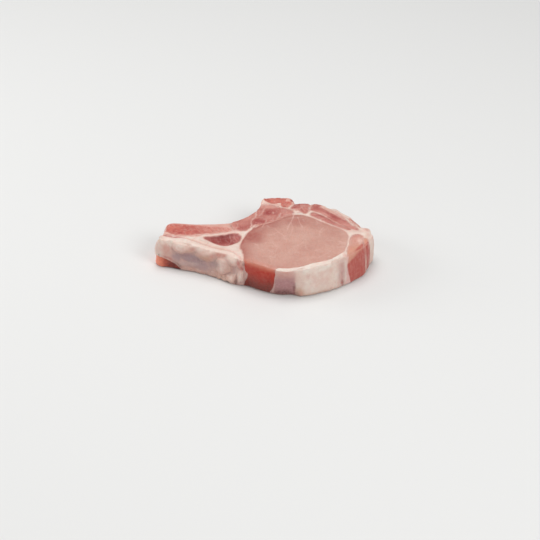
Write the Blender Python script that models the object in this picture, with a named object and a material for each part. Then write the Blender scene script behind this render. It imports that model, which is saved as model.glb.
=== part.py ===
"""Raw pork rib chop, bone in, lying on its lower cut face.

A chop is one slice across a side of pork, so each bone, muscle and layer of fat runs
through it from the upper cut face to the lower one. The slice is one turned-out block:
a loft of its outline from foot to crest, trimmed by a gently uneven cut face. Each bone
and muscle is an upright prism of its own outline, cut out of that block; the fat is what
is left of the block between them.

Run it with: blender --background --python part.py
The drawing values are millimetres, +X along the rib towards the belly end of the slice,
+Y towards the backbone, +Z up. The finished chop is moved so that its box stands centred
on the origin. Blender's own units stay metres.
"""

import math
from typing import NamedTuple

import bmesh
import bpy
from mathutils import Matrix, Vector

MM = 0.001

# ---------------------------------------------------------------- driving dimensions
THICKNESS = 24.0  # upper cut face above the board
SEAM_GAP = 0.3  # clearance between a muscle or bone and the fat around it
WALL_BULGE = 0.7  # how far the side stands out at half height
WALL_LEVELS = (0.3, 0.55, 0.8)  # heights of the side's sections, as shares
CREST_ANGLES = (30, 60, 90)  # sections of the crest's rounding
CREST_STEP = 0.3  # how far the block's overrun above the crest is set in
FOOT_ROUND = 1.0  # small round under the side, so that the foot is flat inside it
BONE_PROUD = 0.5  # flesh shrinks from the saw cut, so bone stands a little above it
RIB_DEPTH = 13.0  # the rib fills the slice from the upper face down to this depth
RIB_KEEL = 5.0  # height of the rounding of the rib's lower edges
KEEL_LEVELS = (0.15, 0.5, 1.0)  # where that rounding has its sections
KEEL_NARROWEST = 0.55  # width of the rib's underside, as a share of its full width
CUT_OVERRUN = 6.0  # how far cutters run past the block, so that no faces coincide
RIM_STEPS = 3  # points of the rim's curve between two drawn points
PRISM_STEPS = 3  # the same for the outline of a muscle or bone
CELL = 5.0  # size of the facets of the uneven cut face


class Stretch(NamedTuple):
    """A stretch of the slice's rim that has one kind of side.

    flare is how far the foot lies outside the crest, rounding the radius of the crest.
    """

    name: str
    flare: float
    rounding: float
    points: tuple


RIM = (
    Stretch("sawn rib end", 4.6, 1.6, ((-76.4, -1.2), (-74.8, 4.5), (-74.6, 10))),
    Stretch("back of the rib", 1.0, 1.6, ((-72.6, 14), (-67, 15.6), (-56, 14.8), (-40, 14.4))),
    Stretch("hollow of the back", 1.0, 1.4, ((-28, 15.2), (-21, 17.8), (-14, 23), (-8, 30), (-4, 37))),
    Stretch("feather bone", 0.5, 1.0, ((-2.8, 43), (-2, 49.5), (1, 52), (10, 53), (17, 53))),
    Stretch("feather bone's end", 0.5, 1.0, ((21.5, 51.5), (23, 47.5))),
    Stretch("back meat", 1.0, 1.4, ((24.5, 44), (30, 44), (36, 43), (43, 41.8))),
    Stretch("cap fat", 1.2, 2.0, ((50, 37.5), (56, 35), (61, 30), (66, 23.8), (70.4, 16.6), (74.4, 11))),
    Stretch("belly end", 0.6, 2.0, ((78.6, 6.5), (81, 1), (80.8, -4), (77.8, -11))),
    Stretch("belly meat", 2.6, 2.4, ((72.8, -18.5), (66, -25.5))),
    Stretch("fat cap", 3.2, 2.4, ((58, -31.5), (49, -37.5))),
    Stretch("thick of the fat cap", 2.0, 2.2, ((40, -42), (30, -46.2))),
    Stretch("bare loin", -2.2, 2.8, ((20, -48.6), (13, -49), (5, -46.8), (-6, -41.5), (-14, -36.8))),
    Stretch("folds of the flank", 2.8, 2.4, ((-20, -31.5), (-27, -26.5), (-36, -21.6))),
    Stretch("flank fat", 1.6, 2.6, ((-50, -16), (-62, -12.2), (-72, -8.8))),
    Stretch("flank corner", 3.0, 2.2, ((-76, -7.2),)),
    Stretch("lower end", 4.6, 2.0, ((-77.5, -4.4),)),
)


class Region(NamedTuple):
    """A bone or a muscle: its outline on the upper cut face, and how it runs down.

    low is the height of its underside, whose sides are rounded over the height keel,
    and proud is how far it stands above the cut face. At the foot its outline is drawn
    in to the share foot_scale about its middle and moved by foot_shift along X.
    """

    name: str
    material: str
    outline: tuple
    low: float = -CUT_OVERRUN
    keel: float = 0.0
    proud: float = 0.0
    foot_scale: float = 1.0
    foot_shift: float = 0.0


REGIONS = (
    Region(
        "loin_eye", "pale lean",
        ((-17.2, -16), (-15.4, -7), (-12.4, 1), (-7, 8), (-1, 12.4), (6, 15.4), (12.6, 20.8),
         (18.6, 24.8), (26, 26), (33, 23.8), (42, 17.6), (52, 10.4), (59.2, 4.8), (62.2, -3),
         (61.2, -14), (59, -23), (55, -29), (47, -35.6), (36, -40), (26, -44.4),
         (17, -46.2), (8.8, -46.2), (7.6, -53), (-6, -54), (-16, -47), (-14.2, -35), (-15, -26)),
        foot_scale=0.94, foot_shift=-3.0,
    ),
    Region(
        "rib_bone", "marrow",
        ((-83, -0.8), (-82, 21), (-56, 21), (-30, 21), (-27, 11.5), (-24.5, 7.5), (-25.5, 4),
         (-31, 1.8), (-40, 0), (-50, -2.4), (-60, -2.6), (-72, -1.8)),
        low=THICKNESS - RIB_DEPTH, keel=RIB_KEEL, proud=BONE_PROUD,
    ),
    Region(
        "feather_bone", "marrow",
        ((-9, 42), (-9, 58), (10, 59), (27, 58), (27, 49.5), (21.2, 43.6), (19.6, 40.6),
         (17.6, 38.2), (14.6, 38.4), (12.5, 40.6), (9, 42.6), (4, 43), (-1.5, 42)),
        proud=BONE_PROUD,
    ),
    Region(
        "rib_lean", "dark lean",
        ((-44.4, -4.9), (-38.6, -2.9), (-31.6, -1), (-25, 0.8), (-20.2, 1.2), (-17.4, -2.4),
         (-18, -8.4), (-22.5, -13.6), (-28.5, -16.2), (-35, -14.2), (-41, -8.8)),
        proud=-0.6, foot_scale=0.9,
    ),
    Region(
        "back_lean", "lean",
        ((-22.5, 8), (-24.6, 12), (-25, 22), (-15, 30), (-10, 40.5), (-1, 40.4), (5, 41.4),
         (9.4, 40.2), (12.6, 37.6), (17.8, 36), (21.4, 33), (21.8, 29.6), (17, 26.6),
         (11, 23), (5.4, 17.6), (-1.6, 14.6), (-6.6, 13.8), (-9.4, 10.6), (-13.4, 6.2),
         (-18.4, 5.2)),
        foot_scale=0.97,
    ),
    Region(
        "spinal_lean", "lean",
        ((20.8, 36.8), (22.4, 40.4), (25, 43), (31, 50), (36.4, 50), (35.8, 42), (34.4, 36),
         (34, 31), (31.4, 28.4), (28.4, 31), (25.8, 34.4)),
        foot_scale=0.97,
    ),
    Region(
        "outer_cap", "lean",
        ((35.8, 34), (37.2, 41), (38.4, 49), (46, 47), (48.4, 36.6), (54.4, 31), (61, 23.4),
         (66.2, 14.8), (70.4, 6.4), (69.2, 4.8), (64, 8.4), (57, 15), (50, 22), (43.8, 28.4),
         (38.8, 32)),
        foot_scale=0.97,
    ),
    Region(
        "inner_cap", "lean",
        ((36.2, 28.6), (39.6, 29), (46.4, 23.6), (53, 16.8), (61, 9.4), (65.4, 5.6),
         (62.8, 5.2), (56, 9.6), (47, 16.6), (39.6, 22.4), (36, 25.4)),
        foot_scale=0.97,
    ),
    Region(
        "belly_lean", "lean",
        ((65.2, -5), (67.2, -1.8), (70.6, -1.2), (73.2, -3.6), (73, -10), (74.2, -16.4),
         (77.4, -22), (76, -36), (68, -40), (61.2, -35), (61.4, -26), (62.8, -18),
         (64.2, -11)),
    ),
    Region(
        "flank_lean", "lean",
        ((74.4, -6.6), (76.6, -6.8), (78, -9.6), (84, -13), (83.5, -22), (79, -20.6),
         (75.6, -15.6), (74.2, -10.4)),
    ),
)

# Meat between this rib and the next one: its side view (x, z), low under the rib's end.
RIB_MEAT = ((-90, 10.4), (-80, 10), (-75, 8.6), (-70, 6.4), (-65.5, 3.8), (-62, 0.6), (-61, -8), (-90, -8))
RIB_MEAT_REACH = (-30.0, 30.0)  # it runs right through the slice along Y

# Each finish is a colour and a roughness; raw meat is moist, so none is quite dull.
FINISHES = {
    "pale lean": ((0.67, 0.39, 0.32, 1.0), 0.42),
    "lean": ((0.56, 0.23, 0.19, 1.0), 0.40),
    "dark lean": ((0.34, 0.08, 0.07, 1.0), 0.38),
    "marrow": ((0.63, 0.20, 0.17, 1.0), 0.50),
    "fat": ((0.83, 0.70, 0.64, 1.0), 0.36),
}


# ---------------------------------------------------------------- curves and heights
def smooth_loop(points, steps):
    """Points of a closed smooth curve (Catmull-Rom) through rows of numbers."""
    rows = [Vector(p) for p in points]
    count = len(rows)
    loop = []
    for i in range(count):
        before, start, end, after = (rows[(i + k) % count] for k in (-1, 0, 1, 2))
        for step in range(steps):
            t = step / steps
            loop.append(
                0.5 * (2 * start + (end - before) * t
                       + (2 * before - 5 * start + 4 * end - after) * t * t
                       + (3 * start - before - 3 * end + after) * t ** 3)
            )
    return loop


def bump(x, y, centre, reach):
    """1 at the centre, falling to 0 about two reaches (rx, ry) away."""
    return math.exp(-((x - centre[0]) / reach[0]) ** 2 - ((y - centre[1]) / reach[1]) ** 2)


def cut_face_height(x, y):
    """Height of the uneven upper cut face at a place of the drawing."""
    waves = 0.35 * math.sin(x / 17 + 0.6) * math.cos(y / 14) + 0.2 * math.sin(x / 8 - y / 11)
    crown = 0.7 * bump(x, y, (26, -14), (26, 24))
    dip_by_web = -0.8 * bump(x, y, (-11, -3), (7, 13))
    hollow_under_rib = -1.3 * bump(x, y, (-31, -5), (10, 5))
    return THICKNESS + waves + crown + dip_by_web + hollow_under_rib


# ---------------------------------------------------------------- Blender helpers
def clear_scene():
    for obj in list(bpy.data.objects):
        bpy.data.objects.remove(obj, do_unlink=True)


def new_collection(name):
    made = bpy.data.collections.new(name)
    bpy.context.scene.collection.children.link(made)
    return made


def finish_material(name):
    colour, roughness = FINISHES[name]
    material = bpy.data.materials.get(name) or bpy.data.materials.new(name)
    material.use_nodes = True
    shader = material.node_tree.nodes["Principled BSDF"]
    shader.inputs["Base Color"].default_value = colour
    shader.inputs["Roughness"].default_value = roughness
    shader.inputs["Metallic"].default_value = 0.0
    material.diffuse_color = colour
    return material


def object_from(bm, name, collection):
    """Turns a bmesh drawn in millimetres into an object in metres."""
    bmesh.ops.recalc_face_normals(bm, faces=bm.faces)
    bmesh.ops.scale(bm, vec=(MM, MM, MM), verts=bm.verts)
    mesh = bpy.data.meshes.new(name)
    bm.to_mesh(mesh)
    bm.free()
    obj = bpy.data.objects.new(name, mesh)
    collection.objects.link(obj)
    return obj


def hide_as_cutter(obj):
    obj.hide_render = True
    obj.display_type = "WIRE"
    return obj


def boolean(obj, operation, cutter):
    """Adds a Boolean with another object, or with all objects of a collection."""
    modifier = obj.modifiers.new(operation.lower(), "BOOLEAN")
    modifier.operation = operation
    modifier.solver = "EXACT"
    if isinstance(cutter, bpy.types.Collection):
        modifier.operand_type = "COLLECTION"
        modifier.collection = cutter
    else:
        modifier.object = cutter


# ---------------------------------------------------------------- the slice as a whole
def rim_loop():
    """The rim as a fine loop of (x, y, flare, rounding)."""
    rows = [(x, y, s.flare, s.rounding) for s in RIM for x, y in s.points]
    return smooth_loop(rows, RIM_STEPS)


def outward_directions(loop):
    """Unit vectors that point out of a loop, which may run either way round."""
    count = len(loop)
    area = sum(loop[i - 1].x * loop[i].y - loop[i].x * loop[i - 1].y for i in range(count))
    turn = 1.0 if area > 0 else -1.0
    found = []
    for i in range(count):
        along = loop[(i + 1) % count].to_2d() - loop[i - 1].to_2d()
        found.append(Vector((along.y, -along.x)).normalized() * turn)
    return found


def side_profile(flare, rounding, top):
    """The side from foot to crest as steps of (outward offset, height)."""
    profile = [(flare - FOOT_ROUND, 0.0), (flare, FOOT_ROUND)]
    for share in WALL_LEVELS:
        bulge = WALL_BULGE * math.sin(math.pi * share)
        profile.append((flare * (1 - share) + bulge, share * top))
    for angle in CREST_ANGLES:
        turn = math.radians(angle)
        profile.append((rounding * (math.cos(turn) - 1), top + rounding * (math.sin(turn) - 1)))
    profile.append((-rounding - CREST_STEP, top + CUT_OVERRUN))
    return profile


def make_block(name, collection):
    """The whole slice without its upper face: a loft of the rim from foot to crest."""
    loop = rim_loop()
    bm = bmesh.new()
    columns = []
    for (x, y, flare, rounding), out in zip(loop, outward_directions(loop)):
        column = []
        for offset, height in side_profile(flare, rounding, cut_face_height(x, y)):
            column.append(bm.verts.new((x + out.x * offset, y + out.y * offset, height)))
        columns.append(column)
    rings = list(zip(*columns))
    for lower, upper in zip(rings, rings[1:]):
        for i in range(len(loop)):
            bm.faces.new((lower[i - 1], lower[i], upper[i], upper[i - 1]))
    bm.faces.new(rings[0])
    bm.faces.new(rings[-1])
    return object_from(bm, name, collection)


def make_cut_face(name, box, proud, collection):
    """A slab over a box of the drawing, whose top is the uneven cut face."""
    (x0, y0), (x1, y1) = box
    across = max(2, math.ceil((x1 - x0) / CELL))
    along = max(2, math.ceil((y1 - y0) / CELL))
    bm = bmesh.new()
    bmesh.ops.create_grid(bm, x_segments=across, y_segments=along, size=1.0)
    for vert in bm.verts:
        vert.co.x = (x0 + x1) / 2 + vert.co.x * (x1 - x0) / 2
        vert.co.y = (y0 + y1) / 2 + vert.co.y * (y1 - y0) / 2
        vert.co.z = cut_face_height(vert.co.x, vert.co.y) + proud
    sheet = bmesh.ops.extrude_face_region(bm, geom=bm.faces[:])
    for item in sheet["geom"]:
        if isinstance(item, bmesh.types.BMVert):
            item.co.z = -2 * CUT_OVERRUN
    return hide_as_cutter(object_from(bm, name, collection))


def outline_box(outline, margin):
    xs, ys = zip(*outline)
    return (min(xs) - margin, min(ys) - margin), (max(xs) + margin, max(ys) + margin)


# ---------------------------------------------------------------- bones and muscles
def widened(loop, by):
    """A loop moved outwards by a distance."""
    return [p.to_2d() + out * by for p, out in zip(loop, outward_directions(loop))]


def upright_prism(loop, low, high):
    """A bmesh of a filled loop, drawn out from one height to another."""
    curve = bpy.data.curves.new("outline", "CURVE")
    curve.dimensions = "2D"
    curve.fill_mode = "BOTH"
    curve.extrude = (high - low) / 2
    spline = curve.splines.new("POLY")
    spline.points.add(len(loop) - 1)
    spline.use_cyclic_u = True
    for point, place in zip(spline.points, loop):
        point.co = (place.x, place.y, 0.0, 1.0)
    flat = bpy.data.objects.new("outline", curve)
    mesh = bpy.data.meshes.new_from_object(flat)
    bm = bmesh.new()
    bm.from_mesh(mesh)
    bpy.data.meshes.remove(mesh)
    bpy.data.objects.remove(flat, do_unlink=True)
    bmesh.ops.remove_doubles(bm, verts=bm.verts, dist=0.01)
    bmesh.ops.translate(bm, vec=(0, 0, (low + high) / 2), verts=bm.verts)
    return bm


def keel_width(share):
    """Width of a rounded keel at a share of its height, as a share of the full width."""
    if share >= 1:
        return 1.0
    return KEEL_NARROWEST + (1 - KEEL_NARROWEST) * math.sqrt(1 - (1 - share) ** 2)


def region_prism(region, widen):
    """The upright prism of a region, widened all round, its foot drawn in and shifted."""
    low = region.low - (widen if region.low > 0 else 0.0)
    loop = widened(smooth_loop(region.outline, PRISM_STEPS), widen)
    bm = upright_prism(loop, low, THICKNESS + CUT_OVERRUN)
    if region.keel:
        for share in KEEL_LEVELS:
            geometry = bm.verts[:] + bm.edges[:] + bm.faces[:]
            level = (0, 0, low + share * region.keel)
            bmesh.ops.bisect_plane(bm, geom=geometry, plane_co=level, plane_no=(0, 0, 1))
    xs, ys = zip(*region.outline)
    middle = Vector(((min(xs) + max(xs)) / 2, (min(ys) + max(ys)) / 2))
    for vert in bm.verts:
        depth = (THICKNESS - vert.co.z) / THICKNESS
        scale = 1 + (region.foot_scale - 1) * depth
        narrow = keel_width((vert.co.z - low) / region.keel) if region.keel else 1.0
        vert.co.x = middle.x + (vert.co.x - middle.x) * scale + region.foot_shift * depth
        vert.co.y = middle.y + (vert.co.y - middle.y) * scale * narrow
    return bm


def rib_meat_wedge(widen):
    """The wedge of meat under the rib's end: its side view drawn out along Y."""
    loop = widened(smooth_loop(RIB_MEAT, PRISM_STEPS), widen)
    bm = upright_prism(loop, *RIB_MEAT_REACH)
    bmesh.ops.rotate(bm, verts=bm.verts, matrix=Matrix.Rotation(math.pi / 2, 3, "X"))
    return bm


def stand_on_origin(collection):
    """Moves everything so that the chop's box is centred on the origin and stands on z = 0."""
    bpy.context.view_layer.update()
    graph = bpy.context.evaluated_depsgraph_get()
    corners = [
        obj.matrix_world @ Vector(corner)
        for obj in collection.objects
        for corner in obj.evaluated_get(graph).bound_box
    ]
    low = Vector([min(c[axis] for c in corners) for axis in range(3)])
    high = Vector([max(c[axis] for c in corners) for axis in range(3)])
    offset = Vector(((low.x + high.x) / 2, (low.y + high.y) / 2, low.z))
    for obj in bpy.data.objects:
        obj.location -= offset


def main():
    clear_scene()
    chop = new_collection("raw_pork_chop")
    cutters = new_collection("cutters")
    rooms = new_collection("rooms_in_the_fat")
    block = hide_as_cutter(make_block("block", cutters))

    for region in REGIONS:
        piece = object_from(region_prism(region, 0.0), region.name, chop)
        box = outline_box(region.outline, CELL)
        face = make_cut_face(region.name + "_cut_face", box, region.proud, cutters)
        boolean(piece, "INTERSECT", block)
        boolean(piece, "INTERSECT", face)
        piece.data.materials.append(finish_material(region.material))
        hide_as_cutter(object_from(region_prism(region, SEAM_GAP), region.name + "_room", rooms))

    rib_meat = object_from(rib_meat_wedge(0.0), "rib_meat", chop)
    boolean(rib_meat, "INTERSECT", block)
    rib_meat.data.materials.append(finish_material("lean"))
    hide_as_cutter(object_from(rib_meat_wedge(SEAM_GAP), "rib_meat_room", rooms))

    fat = make_block("fat", chop)
    whole_box = outline_box([p for s in RIM for p in s.points], CUT_OVERRUN)
    boolean(fat, "INTERSECT", make_cut_face("fat_cut_face", whole_box, 0.0, cutters))
    boolean(fat, "DIFFERENCE", rooms)
    fat.data.materials.append(finish_material("fat"))
    stand_on_origin(chop)


main()
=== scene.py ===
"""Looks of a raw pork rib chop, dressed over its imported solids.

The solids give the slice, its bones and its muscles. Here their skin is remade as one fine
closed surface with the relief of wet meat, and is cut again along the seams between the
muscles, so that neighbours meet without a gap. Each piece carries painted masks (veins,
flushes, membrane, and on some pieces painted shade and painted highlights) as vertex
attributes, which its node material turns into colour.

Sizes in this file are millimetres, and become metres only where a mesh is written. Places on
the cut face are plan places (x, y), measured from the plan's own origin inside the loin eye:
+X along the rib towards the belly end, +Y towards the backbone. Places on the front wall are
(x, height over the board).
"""

import logging
import math
from dataclasses import dataclass, field
from enum import Enum
from typing import Optional, Sequence, Union

import bmesh
import bpy
import numpy as np
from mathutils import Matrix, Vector
from mathutils.bvhtree import BVHTree


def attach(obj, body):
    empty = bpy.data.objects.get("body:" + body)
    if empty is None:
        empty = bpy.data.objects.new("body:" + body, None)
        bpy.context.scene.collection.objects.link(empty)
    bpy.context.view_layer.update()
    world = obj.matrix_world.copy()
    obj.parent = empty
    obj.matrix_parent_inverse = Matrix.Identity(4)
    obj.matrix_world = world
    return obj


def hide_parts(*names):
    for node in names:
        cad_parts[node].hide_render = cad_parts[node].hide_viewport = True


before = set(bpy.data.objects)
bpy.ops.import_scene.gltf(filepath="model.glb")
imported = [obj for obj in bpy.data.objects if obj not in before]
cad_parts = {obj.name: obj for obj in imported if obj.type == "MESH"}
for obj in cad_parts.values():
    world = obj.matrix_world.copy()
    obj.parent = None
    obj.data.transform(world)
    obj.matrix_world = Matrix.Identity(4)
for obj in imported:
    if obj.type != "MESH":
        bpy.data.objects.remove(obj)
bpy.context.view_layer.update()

log = logging.getLogger("raw_pork_chop")

MM = 0.001
PLAN_ORIGIN = (-0.06, -2.50)  # where the plan's origin lies in the row frame

Array = np.ndarray
Place = tuple[float, float]
Colour = tuple[float, float, float]

# ---------------------------------------------------------------- remaking the skin
VOXEL = 0.45  # grid of the remade skin
SEAM_REACH = 0.6  # walls of two nodes nearer than this are the two sides of a seam
SEAM_OVERLAP = 0.25  # how far seam walls move to close the gap between the nodes
SEAM_MIDDLE = 0.15  # half the gap, where the skin is cut again
CUTTER_OVERRUN = 4.0  # how far a cutter reaches out of the skin
CUTTER_CELL = 1.6  # length of a cutter's edges before its walls are made uneven
CUTTER_ROUNDS = 3  # rounds of halving those edges
SEAM_WANDER = 0.55  # how far a seam wanders in wide swings
SEAM_FLUTTER = 0.3  # and in fine ones
SEAM_FAR = 30.0  # distances from the seams are measured up to this
FACING = -0.7  # cosine between two walls that look at each other
WELD = 1e-6  # vertices nearer than this are one, in metres
STEADINESS = 0.002  # keeps a vertex's move steady where its faces are nearly parallel
LONGEST_MOVE = 1.6  # the most that a vertex moves, in distances asked for
SMOOTHING = 0.5  # share of each smoothing round
SMOOTHING_ROUNDS = 40
BRIM_RAG = 0.4  # height of the ragged brim
BRIM_SINK = 0.1  # how far the brim lies below the skin
SPECK = 400  # a loose bit of skin with fewer faces is dropped
CREASE_ANGLE = math.radians(48)  # sharper edges than this stay sharp

# ---------------------------------------------------------------- wet flesh in every finish
FLESH_IOR = 1.38
FILM_IOR = 1.35
FILM_ROUGHNESS = 0.18
GLOW_RADIUS = (1.0, 0.35, 0.25)  # how far red, green and blue light spread inside, in parts
GLOW_SCALE = 0.8 * MM
BUNDLE_BEND = 0.0022  # how far the fibre bundles are bent, in metres


class Tissue(Enum):
    """The kinds of tissue that the pieces are of."""

    FAT = "fat"
    PALE_LEAN = "pale_lean"
    LEAN = "lean"
    DARK_LEAN = "dark_lean"
    MARROW = "marrow"


class Mask(Enum):
    """The vertex attributes that the materials read, each from 0 to 1."""

    # lilac, tan, cream and deep also carry painted shade and painted highlights on some pieces
    BLUSH = "blush"
    BLOOD = "blood"
    SINEW = "sinew"
    MEMBRANE_AND_SHADE = "membrane_and_shade"
    TAN_AND_SHADE = "tan_and_shade"
    CREAM_AND_HIGHLIGHT = "cream_and_highlight"
    DARK_AND_SHADE = "deep"
    CORE = "core"
    CUT = "cut"
    FLESH = "flesh"
    MAUVE = "mauve"


# ---------------------------------------------------------------- values over a surface
def smoothstep(low: float, high: float, value: Array) -> Array:
    """0 below low, 1 above high and a smooth ramp between them."""
    share = np.clip((value - low) / (high - low), 0.0, 1.0)
    return share * share * (3.0 - 2.0 * share)


def lattice_noise(points: Array, size: float, seed: int) -> Array:
    """Smooth random values between -1 and 1, about one swing for each cell.

    Args:
        points: rows of (x, y, z) or (u, v).
        size: cell size.
        seed: picks another pattern.

    Returns:
        One value for each row.
    """
    axes = points.shape[1]
    primes = (73856093, 19349663, 83492791)
    scaled = points / size + seed * 17.31
    corner = np.floor(scaled).astype(np.int64)
    part = scaled - corner
    part = part * part * (3.0 - 2.0 * part)
    total = np.zeros(len(points))
    for step in np.ndindex(*(2,) * axes):
        mixed = np.full(len(points), seed * 2654435761 % 2**32, dtype=np.uint64)
        weight = np.ones(len(points))
        for axis in range(axes):
            mixed ^= (corner[:, axis] + step[axis]).astype(np.uint64) * np.uint64(primes[axis])
            weight *= part[:, axis] if step[axis] else 1.0 - part[:, axis]
        mixed = (mixed ^ (mixed >> np.uint64(13))) * np.uint64(1274126177)
        mixed = (mixed ^ (mixed >> np.uint64(16))) & np.uint64(0xFFFFFF)
        total += weight * (mixed.astype(float) / 0x7FFFFF - 1.0)
    return total


def layered_noise(points: Array, size: float, seed: int, layers: int = 3) -> Array:
    """Lattice noise with finer and weaker layers added, between about -1 and 1."""
    total = np.zeros(len(points))
    for layer in range(layers):
        total += lattice_noise(points, size / 2**layer, seed + layer) / 2**layer
    return total / 1.5


def line_distance(places: Array, line: Sequence[Place]) -> Array:
    """Distance of each place (u, v) from a broken line.

    Args:
        places: rows of (u, v).
        line: the line's points.

    Returns:
        One distance for each row.
    """
    nearest = np.full(len(places), np.inf)
    for start, end in zip(line, line[1:]):
        first, run = np.array(start), np.array(end) - np.array(start)
        share = np.clip((places - first) @ run / max(run @ run, 1e-9), 0.0, 1.0)
        gap = places - first - share[:, None] * run
        nearest = np.minimum(nearest, np.hypot(gap[:, 0], gap[:, 1]))
    return nearest


def depth_inside(places: Array, loop: Sequence[Place]) -> Array:
    """How deep each place (u, v) lies inside a closed loop, below 0 outside it."""
    inside = np.zeros(len(places), dtype=bool)
    u, v = places[:, 0], places[:, 1]
    closed = list(loop) + [loop[0]]
    for (u0, v0), (u1, v1) in zip(closed, closed[1:]):
        if v0 == v1:
            continue
        crossing = (v0 > v) != (v1 > v)
        inside ^= crossing & (u < (u1 - u0) * (v - v0) / (v1 - v0) + u0)
    distance = line_distance(places, closed)
    return np.where(inside, distance, -distance)


def oval_axes(places: Array, at: Place, reach: Place, turn: float) -> tuple[Array, Array]:
    """How far places are from an oval's middle, in parts of its half sizes.

    Args:
        places: the places (u, v).
        at: the oval's middle.
        reach: its half sizes.
        turn: degrees that it is turned by.

    Returns:
        The distances along and across it.
    """
    angle = math.radians(turn)
    away = places - np.array(at)
    along = (away[:, 0] * math.cos(angle) + away[:, 1] * math.sin(angle)) / reach[0]
    across = (away[:, 1] * math.cos(angle) - away[:, 0] * math.sin(angle)) / reach[1]
    return along, across


@dataclass(frozen=True)
class Patch:
    """A soft oval patch on a plane: its strength in its middle, 0 outside it.

    Attributes:
        at: its middle.
        reach: its half sizes.
        turn: degrees that it is turned by.
        strength: its value in the middle.
    """

    at: Place
    reach: Place
    turn: float = 0.0
    strength: float = 1.0

    def over(self, places: Array) -> Array:
        """The patch's value at each place (u, v)."""
        along, across = oval_axes(places, self.at, self.reach, self.turn)
        return self.strength * np.exp(-1.2 * (along**2 + across**2) ** 1.5)


@dataclass(frozen=True)
class Thread:
    """A thin uneven line on a plane, such as a vein of fat, a crease or a ridge.

    Attributes:
        line: its points.
        width: its half width.
        strength: its value on the line.
        fray: how much its width and strength wander along it.
    """

    line: tuple[Place, ...]
    width: float
    strength: float = 1.0
    fray: float = 0.5

    def over(self, places: Array) -> Array:
        """The thread's value at each place (u, v)."""
        width = self.width * (1.0 + self.fray * lattice_noise(places, 2.8, 71))
        wander = lattice_noise(places, 4.4, 72)
        strength = self.strength * (1.0 - self.fray * 0.6 + 0.6 * self.fray * wander)
        return strength * np.exp(-((line_distance(places, self.line) / width) ** 2))


@dataclass(frozen=True)
class Lump:
    """A pillow of fat that stands out of a plane: domed, with a steep foot.

    Attributes:
        at: its middle.
        reach: its half sizes.
        turn: degrees that it is turned by.
        strength: its height in the middle.
    """

    at: Place
    reach: Place
    turn: float = 0.0
    strength: float = 1.0

    def over(self, places: Array) -> Array:
        """The lump's height at each place (u, v)."""
        along, across = oval_axes(places, self.at, self.reach, self.turn)
        inside = np.clip(1.0 - along**2 - across**2, 0.0, 1.0)
        return self.strength * inside**0.75


Mark = Union[Patch, Thread, Lump]


def patch_rows(*rows: tuple[float, ...]) -> tuple[Patch, ...]:
    """Patches from rows of middle (u, v), half sizes (u, v), turn and strength."""
    return tuple(Patch(row[:2], row[2:4], *row[4:]) for row in rows)


def lump_rows(*rows: tuple[float, ...]) -> tuple[Lump, ...]:
    """Lumps from rows of middle (u, v), half sizes (u, v), turn and height."""
    return tuple(Lump(row[:2], row[2:4], *row[4:]) for row in rows)


def strongest(marks: Sequence[Mark], places: Array) -> Array:
    """The largest value that any of the marks has at each place, at least 0."""
    value = np.zeros(len(places))
    for mark in marks:
        value = np.maximum(value, mark.over(places))
    return value


def summed(marks: Sequence[Mark], places: Array) -> Array:
    """The sum of the values of all marks at each place."""
    value = np.zeros(len(places))
    for mark in marks:
        value += mark.over(places)
    return value


# where the muscles run into each other without a clear line of fat
EYE_MERGE = Thread(
    ((-4.6, 12.8), (0.0, 15.4), (5.0, 18.2), (9.6, 20.8), (14.6, 24.2), (19.6, 26.6)), 3.0, 1.5, 0.25
)
CAP_MERGE = Thread(((49.0, 22.4), (53.0, 18.6), (58.0, 13.8), (64.0, 8.0)), 1.8, 1.2, 0.3)


@dataclass(frozen=True)
class Site:
    """The points of a surface, and how each of them lies on the chop.

    Attributes:
        points: rows of (x, y, z) in the row frame.
        normals: the surface's directions there.
        edge: the distance from the nearest seam between two nodes.
    """

    points: Array
    normals: Array
    edge: Array

    @property
    def plan(self) -> Array:
        """Plan places, bent a little so that nothing drawn on them looks ruled."""
        places = self.points[:, :2] - np.array(PLAN_ORIGIN)
        for axis in range(2):
            bend = layered_noise(self.points, 5.0, 31 + axis)
            places[:, axis] += 0.55 * bend
        return places

    @property
    def front(self) -> Array:
        """Places on the front wall, bent in the same way."""
        places = np.column_stack((self.points[:, 0] - PLAN_ORIGIN[0], self.points[:, 2]))
        for axis in range(2):
            places[:, axis] += 0.5 * layered_noise(self.points, 4.5, 41 + axis)
        return places

    @property
    def top(self) -> Array:
        """1 on the upper cut face, 0 on the walls and underneath."""
        return smoothstep(0.45, 0.85, self.normals[:, 2])

    @property
    def under(self) -> Array:
        """1 on the underside."""
        return smoothstep(0.45, 0.85, -self.normals[:, 2])

    @property
    def cut(self) -> Array:
        """1 on both cut faces."""
        return self.top + self.under

    @property
    def wall(self) -> Array:
        """1 on the walls round the slice."""
        return 1.0 - self.cut

    @property
    def front_wall(self) -> Array:
        """1 on the wall of the long front side."""
        return self.wall * smoothstep(0.0, 0.35, -self.normals[:, 1])

    @property
    def brim(self) -> Array:
        """1 along the edge where a cut face turns into a wall."""
        slope = self.top
        return 4.0 * slope * (1.0 - slope)

    def fringe(self, width: float, seed: int) -> Array:
        """1 at a seam, fading out at an uneven distance from it.

        Args:
            width: the usual distance at which it ends.
            seed: picks another unevenness.

        Returns:
            One value for each point.
        """
        swing = 1.0 + 0.9 * layered_noise(self.points, 2.6, seed)
        return smoothstep(1.0, 0.1, self.edge / np.maximum(width * swing, 0.05))

    def part(self, chosen: Array) -> "Site":
        """The chosen points alone."""
        return Site(self.points[chosen], self.normals[chosen], self.edge[chosen])


# ---------------------------------------------------------------- shader nodes
Value = Union[float, Colour, bpy.types.NodeSocket]


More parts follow.
